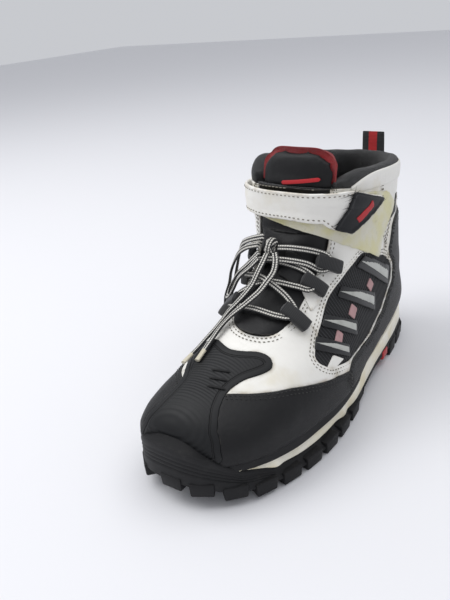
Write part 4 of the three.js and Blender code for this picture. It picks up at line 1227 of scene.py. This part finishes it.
def makeBlocks(name, specs, finish, bevel):   # rubber blocks: (x, y, low, high, width, depth, turn, draft)
    points, faces = [], []
    for x, y, low, high, width, depth, turn, draft in specs:
        first = len(points)
        for z, grow in ((low, 0), (high, draft)):
            for sx, sy in ((-1, -1), (1, -1), (1, 1), (-1, 1)):
                px, py = sx * (width / 2 + grow), sy * (depth / 2 + grow)
                points.append((x + px * math.cos(turn) - py * math.sin(turn),
                               y + px * math.sin(turn) + py * math.cos(turn), z))
        faces += [tuple(first + i for i in f) for f in
                  ((3, 2, 1, 0), (4, 5, 6, 7), (0, 1, 5, 4), (1, 2, 6, 5), (2, 3, 7, 6), (3, 0, 4, 7))]
    made = meshObject(name, np.array(points) * mm + zero, faces, finish, smooth=0)
    addModifier(made, "BEVEL", width=bevel * mm, segments=2)
    shadeBy(made, 40)
    return made


lugs = {"pitch": 21.5, "width": 15.5, "depth": 15.4, "inset": 7.4, "rise": 4.5, "first": 6.0}   # outer row
blocks = {"width": 14, "depth": 11, "turn": 0.35, "rise": 1.5}   # the rows between


def lugSpecs():
    specs = []
    run = np.concatenate([[0], np.cumsum(np.linalg.norm(np.diff(planLine, axis=0), axis=1))])
    mark = lugs["first"]
    while mark < run[-1] - lugs["first"]:
        spot = np.array([np.interp(mark, run, planLine[:, k]) for k in range(3)])
        outward = np.array([np.interp(mark, run, planOut[:, k]) for k in range(3)])
        outward /= np.linalg.norm(outward)
        x, y = spot[:2] - outward[:2] * lugs["inset"]
        inWaist = sole["breastFront"] - 6 < spot[1] < sole["breastBack"] + 8
        if not inWaist:
            ground = float(groundAt(spot[1]))
            deck = float(deckAt(spot[1]))
            turn = math.atan2(outward[1], outward[0]) + math.pi / 2
            specs.append((x, y, ground + 0.02, deck + lugs["rise"], lugs["width"], lugs["depth"], turn, 0.5))
            mark += lugs["pitch"]
        else:
            mark += 5
    for y, columns in ((-120, (-28, -10, 8)), (-98, (-33, -12, 9, 28)), (-76, (-32, -10, 12, 32)),
                       (-54, (-28, -6, 16, 34)),
                       (-32, (-22, -2, 18, 34)), (-10, (-18, 2, 20, 34)), (96, (-22, 0, 22)),
                       (118, (-22, -2, 18)),
                       (134, (-12, 6))):
        for x in columns:
            ground, deck = float(groundAt(y)), float(deckAt(y))
            turn = blocks["turn"] * (1 if x > 0 else -1)
            specs.append((x, y, ground + 0.02, deck + blocks["rise"], blocks["width"], blocks["depth"], turn,
                          0.8))
    return specs


finishPiece(makeOutsole(), "boot", "tread_rubber", "outsole")
finishPiece(makeBlocks("tread_lugs", lugSpecs(), treadRubber, 1.1), "boot", "tread_rubber")
finishPiece(makeBand(), "boot", "cream_rubber", "midsole")
finishPiece(makeWelt(), "boot", "black_leather")
nodes["shank_plate"].data.materials[0] = redPlastic
for name in ("toe_puff", "heel_stiffener", "insole_board"):
    nodes[name].data.materials[0] = boardFibre
print("sole made")


# Windows, guard and small trim

windowBars = [[(-46, 73), (-38, 79), (-12, 62), (-16, 55)], [(-30, 83), (-22, 88), (8, 71), (3, 62)],
              [(-4, 94), (4, 99), (48, 76), (43, 63)], [(26, 106), (38, 111), (82, 86), (78, 70)]]
roseTabs = [[(-27, 70), (-18, 76), (-14, 71), (-22, 65)], [(1, 79), (9, 84), (14, 78), (6, 73)],
            [(37, 86), (44, 90), (49, 83), (42, 79)]]


def between(a, b, share):
    return (a[0] + (b[0] - a[0]) * share, a[1] + (b[1] - a[1]) * share)


for side, word in ((1, "lateral"), (-1, "medial")):
    kind = "s" if side > 0 else "m"
    for i, (frontLow, frontHigh, backHigh, backLow) in enumerate(windowBars):
        bar = patch(f"window_bar_{word}_{i + 1}_moulded", [(kind, *p) for p in (frontLow, frontHigh, backHigh,
                backLow)],
                    0.75, 1.3, barRubber, 2.0, 1.5, 0.5)
        finishPiece(bar, "boot", "bar_plastic", f"window_bar_{word}_{i + 1}")
        tip = between(frontLow, frontHigh, 0.5)
        wedge = [tip, between(between(frontLow, frontHigh, 0.62), backHigh, 0.5),
                 between(backHigh, backLow, 0.22),
                 between(backHigh, backLow, 0.72)]
        film = patch(f"silver_wedge_{word}_{i + 1}", [(kind, *between(p, tip, 0.06)) for p in wedge], 1.05, 0.5,
                     silverFilm, 1.5,
                     0.8, 0.15)
        finishPiece(film, "boot", "bar_plastic")
    for i, tab in enumerate(roseTabs):
        finishPiece(patch(f"rose_tab_{word}_{i + 1}", [(kind, *p) for p in tab], -0.1, 0.9, rosePatch, 1.8, 1.0,
                          0.25), "boot",
                    "mesh_fabric")
    pale = patch(f"pale_patch_{word}", [(kind, *p) for p in ((-44, 60), (-33, 64), (-24, 57), (-38, 56))], 0.0,
                 0.9,
                 whiteLeather, 1.8, 1.2, 0.25)
    finishPiece(pale, "boot", "white_leather")


def guardRibs(spots, flat):
    away = np.abs(spots[:, 0] + 3)
    return 0.5 * np.cos(spots[:, 2] / 7 * 2 * np.pi) * (away > 7) - 0.8 * (away < 5)


guard = patch("heel_guard_moulded", [("b", *p) for p in ((-22, 82), (16, 82), (19, 92), (16, 124), (-22, 124),
                                                         (-25, 92))],
              4.0, 3.0, guardRubber, 1.6, 3, 0.9, guardRibs, back=True)
finishPiece(guard, "boot", "grey_rubber", "heel_guard")
overlay = patch("quarter_patch_lateral", [("s", *p) for p in ((-30, 92), (-12, 99), (-7, 112), (-24, 106))],
                0.9, 0.9,
                whiteLeather, 2.0, 2, 0.35, lambda s, f: folds(s, 9, 0.5))
finishPiece(overlay, "boot", "white_leather")
anklePatch = patch("ankle_gore_lateral", [("s", *p) for p in ((84, 126), (100, 142), (97, 128))], 1.0, 0.9,
                   blackLeather, 1.8,
                   1.5, 0.3)
finishPiece(anklePatch, "boot", "black_leather")
finishPiece(makeBlocks("shank_insert", [(40.5, 69, 6.5, 14, 9, 13, 0.1, 0)], redPlastic, 1.4), "boot",
            "red_plastic")
for i, (x, y) in enumerate(((-3, -97), (-1, -103), (1, -109))):   # three short near-black strips across the toe leather: painted shade, standing for the shade inside three pressed slots
    line = [onForm(("t", x - 6 + 13 * k / 9, y - 2 + 3.2 * k / 9)) for k in range(10)]
    spots, normals = readForm(*np.array(line).T)
    slot = ribbon(f"toe_slot_shade_{i + 1}", spots + normals * 1.7, normals, 1.5, 0.6, slotShadeFinish, 8, 2.4, 2.0)
    finishPiece(slot, "boot", "ribbed_black")
keeper = patch("lace_keeper_webbing", [("t", *p) for p in ((1, -26), (16, -26), (17, -12), (2, -12))], 3.0, 1.3,
               tongueLeather,
               1.8, 1.5, 0.4)
finishPiece(keeper, "boot", "black_webbing", "lace_keeper")


# Lace loops and knot

loopSpec = {"lateral_1": ((32, -42.5, 88), (18, -45, 98.8)), "lateral_2": ((31.5, -15, 102.5), (21, -21.5,
        112)),
            "lateral_3": ((35, 3, 114), (25.5, -8.5, 121.5)),
            "medial_1": ((-37, -43.5, 85.5), (-23.5, -46, 98.5)),
            "medial_2": ((-37, -12.5, 98.5), (-27, -20.5, 111.5)),
            "medial_3": ((-39, 3, 111.5), (-30.5, -8.5, 121))}
for name, (base, tip) in loopSpec.items():
    base, tip = np.array(base, float), np.array(tip, float)
    line = (tip - base) / np.linalg.norm(tip - base)
    path = base + line * np.linspace(-2, np.linalg.norm(tip - base) + 3.2, 22)[:, None]
    normals = blurred(awayFromForm(path), 6)
    t = np.linspace(0, 1, 22)[:, None]
    path = path + normals * (np.sin(t * np.pi) * 1.2 - (1 - t) * 0.8)
    loop = ribbon(f"lace_loop_{name}_webbing", path, normals, 10.0, 5.6, plainWebbing, 16, 4.5, 1.4)
    finishPiece(loop, "boot", "black_cord", f"lace_loop_{name}")

knotAt = np.array(drawnKnot)
turnsOfKnot = []
for i, (lean, reach, deep) in enumerate(((-0.7, 5.6, 4.4), (0.25, 5.2, 5.0), (0.95, 5.4, 4.2))):
    t = np.linspace(0, 2 * np.pi, 40, endpoint=False)
    wrap = np.stack([np.cos(t) * 1.1 * (i - 1) + np.sin(t) * math.sin(lean) * 2.2, np.cos(t) * deep,
                     np.sin(t) * reach * math.cos(lean) + np.cos(t) * 0.8], 1)
    wrap += knotAt
    turnsOfKnot.append(ribbon(f"bow_knot_turn_{i + 1}", wrap, wrap - knotAt, 4.6, 2.2, laceBraid, closed=True))
bpy.ops.object.select_all(action="DESELECT")
for turn in turnsOfKnot:
    turn.select_set(True)
bpy.context.view_layer.objects.active = turnsOfKnot[0]
bpy.ops.object.join()
turnsOfKnot[0].name = "bow_knot_tied"
finishPiece(turnsOfKnot[0], "boot", "lace_fabric", "bow_knot")
print("trim made")


# Strap, tape and badge

tape = [("f", -29, 148), ("f", -11, 145), ("f", 13, 139.5), ("s", 14, 127), ("s", 60, 102), ("s", 69, 119),
        ("s", 93, 137),
        ("s", 76, 149), ("s", 50, 157), ("s", 10, 164), ("f", 13, 165.5), ("f", -11, 166), ("f", -29, 166),
        ("m", 6, 165),
        ("m", 6, 149)]
finishPiece(patch("loop_tape_brushed", tape, 1.5, 1.2, loopPile, 2.6, 4, 0.35, lambda s, f: folds(s, 6, 0.35)),
            "boot",
            "loop_tape_fabric", "loop_tape")
strapOutline = [("m", 65, 139), ("m", 28, 143), ("m", 6, 147.5), ("f", -30, 148), ("f", 0, 148),
                ("f", 22, 146.5),
                ("s", 6, 141), ("s", 17, 135.5), ("s", 57, 151), ("s", 18, 166.5), ("s", 4, 167.5),
                ("f", 22, 168),
                ("f", 0, 168.5), ("f", -30, 168.5), ("m", 6, 168), ("m", 28, 165), ("m", 65, 158)]
strapHeight = 5.4
strap = patch("strap_leather", strapOutline, strapHeight, 2.4, whiteLeather, 2.4, 3, 0.8, lambda s,
              f: folds(s, 22, 0.5))
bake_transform(strap)
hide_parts("strap", "strap_anchor")
strapLine = flatLine(strapOutline, radius=3)
strapSeam = stitchRows("strap_stitches", strapLine, (2.2,), None, seamThread, height=strapHeight + 0.25)
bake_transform(strapSeam)
finishPiece(patch("hook_patch_tape", [("s", *p) for p in ((5, 146), (17, 139), (46, 151), (20, 162), (5, 163))],
                  2.6, 0.8,
                  hookPile, 2.2, 2, 0.2), "strap", "hook_tape_fabric", "hook_patch")

badgeOutline = [("s", *p) for p in ((6, 142.5), (17, 136), (55, 151), (19, 166))]
badgeLine = readForm(*flatLine(badgeOutline, radius=2).T)[0]


def badgeRim(spots, flat):
    far = np.min(np.linalg.norm(spots[:, None] - badgeLine[None], axis=2), axis=1)
    return 0.7 * np.clip(1 - np.abs(far - 1.3) / 1.1, 0, 1) ** 0.5


finishPiece(patch("strap_badge_rubber", badgeOutline, 7.0, 1.7, badgeRubber, 1.1, 2, 0.35, badgeRim), "strap",
            "badge_rubber",
            "strap_badge")
finishPiece(patch("badge_bar_red", [("s", *p) for p in ((20, 147), (22.5, 142.5), (38, 151), (35.5, 155))],
                  7.35, 0.5, redPrint,
                  1.2, 1.2, 0.12), "strap", "badge_rubber")
print("strap made")


# Collar, lining and footbed

collar = {"front": 11.0, "inner": 15.0, "hump": 5.0, "back": 12.5, "from": 0.115, "to": 0.895, "samples": 96}


def rimFrame(turns, offset=0.0):   # points and outward directions along the rim
    spots, normals = readForm(turns, np.ones(len(turns)))
    flat = normals * np.array([1, 1, 0])
    flat /= np.linalg.norm(flat, axis=1, keepdims=True)
    return spots + flat * offset, flat


def crest(turns):   # how far the collar stands above the rim
    t = (np.asarray(turns) - collar["from"]) / (collar["to"] - collar["from"])
    rise = np.interp(t, [0, 0.08, 0.25, 0.5, 0.75, 0.9, 1.0],
                     [4.0, collar["front"], collar["front"] + 1, collar["back"], collar["inner"] - 2,
                      collar["inner"] + collar["hump"] - 1.5, 7.0])
    for _ in range(6):
        rise = np.convolve(np.pad(rise, 1, "edge"), (0.25, 0.5, 0.25), "valid")
    return rise


# sections: per point, (offset, height) round the loop
def sweptShell(name, base, outward, sections, finish, values=None):
    count, size = len(base), len(sections[0])
    up = np.array([0, 0, 1.0])
    points = np.array([[b + n * o + up * h for o, h in section] for b, n,
                       section in zip(base, outward, sections)])
    faces = [(j * size + i, j * size + (i + 1) % size, (j + 1) * size + (i + 1) % size, (j + 1) * size + i)
             for j in range(count - 1) for i in range(size)]
    faces += [tuple(reversed(range(size))), tuple((count - 1) * size + i for i in range(size))]
    made = meshObject(name, points.reshape(-1, 3) * mm + zero, faces, finish, values, 0)
    faceOut(made)
    return made


def makeCollar():
    turns = np.linspace(collar["from"], collar["to"], collar["samples"])
    base, outward = rimFrame(turns)
    tall = crest(turns)
    ends = np.clip(np.minimum(np.arange(len(turns)), np.arange(len(turns))[::-1]) / 5, 0, 1)
    ends = 0.35 + 0.65 * np.sqrt(1 - (1 - ends) ** 2)
    sections = []
    for high, close, turn in zip(tall, ends, turns):
        fold = 0.35 * math.sin(turn * 41) + 0.3 * math.sin(turn * 97 + 1)
        shape = [(-1.5, -7), (-0.3, -2), (0.6, high * 0.35), (0.3, high * 0.7), (-1.2, high * 0.92),
                 (-3.6, high + fold),
                 (-6.6, high - 0.4 + fold), (-9.3, high * 0.82), (-11.0, high * 0.5), (-11.4, high * 0.1),
                 (-10.6, -5),
                 (-8.6, -11), (-6.2, -15), (-4.6, -15), (-4.4, -8)]
        sections.append([(-5.4 + (o + 5.4) * close, h * (0.6 + 0.4 * close)) for o, h in shape])
    made = sweptShell("collar_padded", base, outward, sections, collarMesh)
    addModifier(made, "SUBSURF", levels=1, render_levels=1)
    shadeBy(made, 60)
    return made


def makeCuff():   # the white leather that rises over the outside of the collar, with its rolled top edge
    turns = np.linspace(0.155, 0.86, collar["samples"])
    base, outward = rimFrame(turns)
    tall = crest(turns)
    side = np.clip(np.minimum(turns - turns[0], turns[-1] - turns) / 0.09, 0, 1)
    reach = np.maximum(tall * 0.74 * np.sin(side * np.pi / 2) ** 0.8, 0.4)
    sections = [[(0.9, -5), (1.4, -1), (1.75, h * 0.5), (1.3, h - 0.9), (0.5, h), (-0.6, h - 0.3),
                 (-0.7, h * 0.5), (-0.6, -5)]
                for h in reach]
    made = sweptShell("ankle_cuff", base, outward, sections, whiteLeather)
    plainEdge(made, 12.0)
    addModifier(made, "SUBSURF", levels=1, render_levels=1)
    shadeBy(made, 60)
    return made


# depths under the leather's skin, and mesh counts
lining = {"inner": 7.0, "outer": 4.0, "around": 72, "along": 60}


def makeLining():
    around = lining["around"]
    turns = np.linspace(0, 1, around, endpoint=False)
    sections = [readForm(turns, np.full(around, v)) for v in np.linspace(0.04, 1.0, lining["along"])]
    inner = [spots - normals * lining["inner"] for spots, normals in sections]
    outer = [spots - normals * lining["outer"] for spots, normals in sections]
    rows = [*inner, *outer[::-1]]
    points = np.array(rows).reshape(-1, 3)
    faces = [(j * around + i, (j + 1) * around + i, (j + 1) * around + (i + 1) % around,
              j * around + (i + 1) % around)
             for j in range(len(rows) - 1) for i in range(around)]
    faces += [tuple(range(around)), tuple(reversed(range((len(rows) - 1) * around, len(rows) * around)))]
    made = meshObject("lining_knit", points * mm + zero, faces, liningCloth, smooth=0)
    faceOut(made)
    shadeBy(made, 60)
    return made


def copyNode(name, newName, finish):   # a CAD node's shape as a clean mesh of its own
    made = nodes[name].copy()
    made.data = nodes[name].data.copy()
    bpy.context.scene.collection.objects.link(made)
    made.parent = None
    made.matrix_world = nodes[name].matrix_world
    made.name = newName
    for key in list(made.keys()):
        del made[key]
    made.data.materials.clear()
    made.data.materials.append(finish)
    mergePoints(made, 0.02)
    pick(made)
    bpy.ops.object.transform_apply(location=True, rotation=True, scale=True)
    return made


padded = makeCollar()
finishPiece(padded, "boot", "ribbed_black", "collar_roll")
finishPiece(makeCuff(), "boot", "white_leather")
finishPiece(makeLining(), "boot", "lining_fabric", "lining")
footbed = copyNode("footbed", "footbed_cushion", footbedFoam)
addModifier(footbed, "BEVEL", width=0.6 * mm, segments=2, limit_method="ANGLE", angle_limit=math.radians(50))
shadeBy(footbed, 50)
finishPiece(footbed, "boot", "footbed_foam", "footbed")
print("collar and lining made")


# Tongue top and pull loop

tongueTop = {"low": 166.5, "high": 194.0, "halfWidth": 29.0, "middle": -2.0, "front": 1.5, "pressure": 2.0,
             "cap": 3.5, "voxel": 2.6}


def tonguePlane(x, share):   # the tongue leans back as it rises and wraps round the leg
    lean = 6.5 * share ** 1.4
    return tongueTop["front"] + 4.2 + lean + 6.5 * ((x - tongueTop["middle"]) / tongueTop["halfWidth"]) ** 2


def slab(name, finish, margin, forward, back, low, high, columns=30, rows=16):
    points, faces = [], []
    for layer, depth in ((0, -forward), (1, back)):
        for j in range(rows + 1):
            share = j / rows
            z = low + (high - low) * share
            drop = 5.0 * max(0, share - 0.55) / 0.45
            for i in range(columns + 1):
                side = -1 + 2 * i / columns
                half = tongueTop["halfWidth"] - margin - drop * share
                corner = (abs(side) ** 5) * 6.5 * share ** 3
                x = tongueTop["middle"] + side * half
                edge = min(1, 4 * (1 - abs(side)), 4 * (1 - share) + 0.0)
                round_ = math.sqrt(max(1 - (1 - edge) ** 2, 0)) * 0.75 + 0.25
                points.append((x, tonguePlane(x, share) + depth * round_, z - corner))
    width, layerSize = columns + 1, (columns + 1) * (rows + 1)
    for layer in (0, 1):
        for j in range(rows):
            for i in range(columns):
                a = layer * layerSize + j * width + i
                quad = (a, a + 1, a + 1 + width, a + width)
                faces.append(quad if layer == 0 else quad[::-1])
    rim = [i for i in range(width)] + [j * width + columns for j in range(1, rows + 1)]
    rim += [rows * width + i for i in reversed(range(columns))] + [j * width for j in reversed(range(1, rows))]
    for a, b in zip(rim, rim[1:] + rim[:1]):
        faces.append((b, a, a + layerSize, b + layerSize))
    made = meshObject(name, np.array(points) * mm + zero, faces, finish, smooth=0)
    faceOut(made)
    return made


# foam under leather: swollen by cloth pressure, held to a few millimetres
def puff(made, pressure, cap, voxel):
    addModifier(made, "REMESH", mode="VOXEL", voxel_size=voxel * mm)
    before = np.array([v.co for v in made.data.vertices])
    cloth = made.modifiers.new("swell", "CLOTH")
    cloth.settings.use_pressure = True
    cloth.settings.uniform_pressure_force = pressure
    cloth.settings.effector_weights.gravity = 0
    cloth.settings.quality = 5
    scene = bpy.context.scene
    for step in range(1, 21):
        scene.frame_set(step)
    pick(made)
    bpy.ops.object.modifier_apply(modifier="swell")
    scene.frame_set(1)
    after = np.array([v.co for v in made.data.vertices])
    move = after - before
    far = np.linalg.norm(move, axis=1, keepdims=True)
    move *= np.minimum(1, cap * mm / np.maximum(far, 1e-9))
    made.data.vertices.foreach_set("co", (before + move).ravel())
    made.data.update()


def tuckTongue(made):   # quilted middle
    co = np.array([v.co for v in made.data.vertices]) - zero
    co /= mm
    shallow = np.exp(-((co[:, 2] - 178) / 3.0) ** 2) * np.exp(-((co[:, 0] + 2) / 20) ** 4)
    front = co[:, 1] < tonguePlane(co[:, 0], np.clip((co[:, 2] - 166) / 28, 0, 1))
    co[:, 1] += np.where(front, 1, -1) * shallow * 0.8
    made.data.vertices.foreach_set("co", (co * mm + zero).ravel())
    made.data.update()


def hingeTongue(made):   # bakes the piece's placement into its own mesh
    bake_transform(made)


topPad = slab("tongue_top_padded", tongueLeather, 1.5, 3.6, 2.6, tongueTop["low"], tongueTop["high"] - 1.5)
puff(topPad, tongueTop["pressure"], tongueTop["cap"], tongueTop["voxel"])
tuckTongue(topPad)
addModifier(topPad, "SUBSURF", levels=1, render_levels=1)
plainEdge(topPad, 15.0)
shadeBy(topPad, 60)
hingeTongue(topPad)
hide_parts("tongue_top")
redLeaf = slab("tongue_lining_mesh", redCloth, -0.4, -3.2, 6.4, tongueTop["low"] + 4, tongueTop["high"] + 1.2)
addModifier(redLeaf, "BEVEL", width=0.7 * mm, segments=2, limit_method="ANGLE", angle_limit=math.radians(50))
shadeBy(redLeaf, 60)
hingeTongue(redLeaf)
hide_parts("tongue_lining")

markPath = np.array([(x, tonguePlane(x, 0.2) - 5.2 - 0.012 * (18 - abs(x - 6)),
                      173.5 + 0.12 * x) for x in np.linspace(-9, 20, 24)])
mark = ribbon("tongue_stripe_red", markPath, np.tile((0.0, -1.0, 0.25), (24, 1)), 2.8, 0.8, redPrint, 12, 5,
              1.0)
hingeTongue(mark)
pullLoopSize = {"middle": -3.0, "back": 149.9, "low": 138.5, "high": 178.5, "gap": 2.0, "width": 19.5}
t = np.linspace(0, 1, 40)
rise = pullLoopSize["low"] + (pullLoopSize["high"] - pullLoopSize["low"]) * np.sin(np.pi * t) ** 0.55
loopPath = np.stack([np.full(40, pullLoopSize["middle"]),
                     pullLoopSize["back"] - pullLoopSize["gap"] / 2 * np.cos(np.pi * t) *
                     np.clip(np.sin(np.pi * t) * 3, 0.3, 1), rise], 1)
loopPath[:, 1] -= np.clip(152 - rise, 0, 14) * 0.21   # the sewn ends lie against the back of the boot
loopPath = evenly(loopPath, 1.0)
pullLoop = ribbon("pull_loop_webbing", loopPath, np.tile((0.0, 1.0, 0.3), (len(loopPath), 1)),
                  pullLoopSize["width"], 1.3,
                  stripedWebbing, 16, 6)
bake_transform(pullLoop)
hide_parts("pull_loop")
print("tongue and pull loop made")


# Floor and light

# metres, watts
softboxes = {"softbox_left": ((-0.9, -0.5, 1.5), 1.2, 16), "softbox_top": ((0.3, 0.3, 1.8), 1.6, 11)}


def makeStage():
    bpy.ops.object.select_all(action="DESELECT")
    bpy.ops.mesh.primitive_plane_add(size=8, location=(0, 0, 0))
    floor = bpy.context.object
    floor.name = "floor"
    backdrop, _, shader = startFinish("paleBackdrop", 0.75)
    shader.inputs["Base Color"].default_value = linear("E4E4E7")
    floor.data.materials.append(backdrop)
    sky = bpy.data.worlds.new("studio")
    sky.use_nodes = True
    sky.node_tree.nodes["Background"].inputs["Color"].default_value = (0.93, 0.95, 1.0, 1)
    sky.node_tree.nodes["Background"].inputs["Strength"].default_value = 0.62
    bpy.context.scene.world = sky
    for name, (spot, size, power) in softboxes.items():
        bpy.ops.object.light_add(type="AREA", location=spot)
        lamp = bpy.context.object
        lamp.name = name
        lamp.data.size = size
        lamp.data.energy = power
        lamp.rotation_euler = (Vector((0, 0, 0.05)) - Vector(spot)).to_track_quat("-Z", "Y").to_euler()
    bpy.context.scene.view_settings.view_transform = "Standard"


makeStage()
print("stage set")
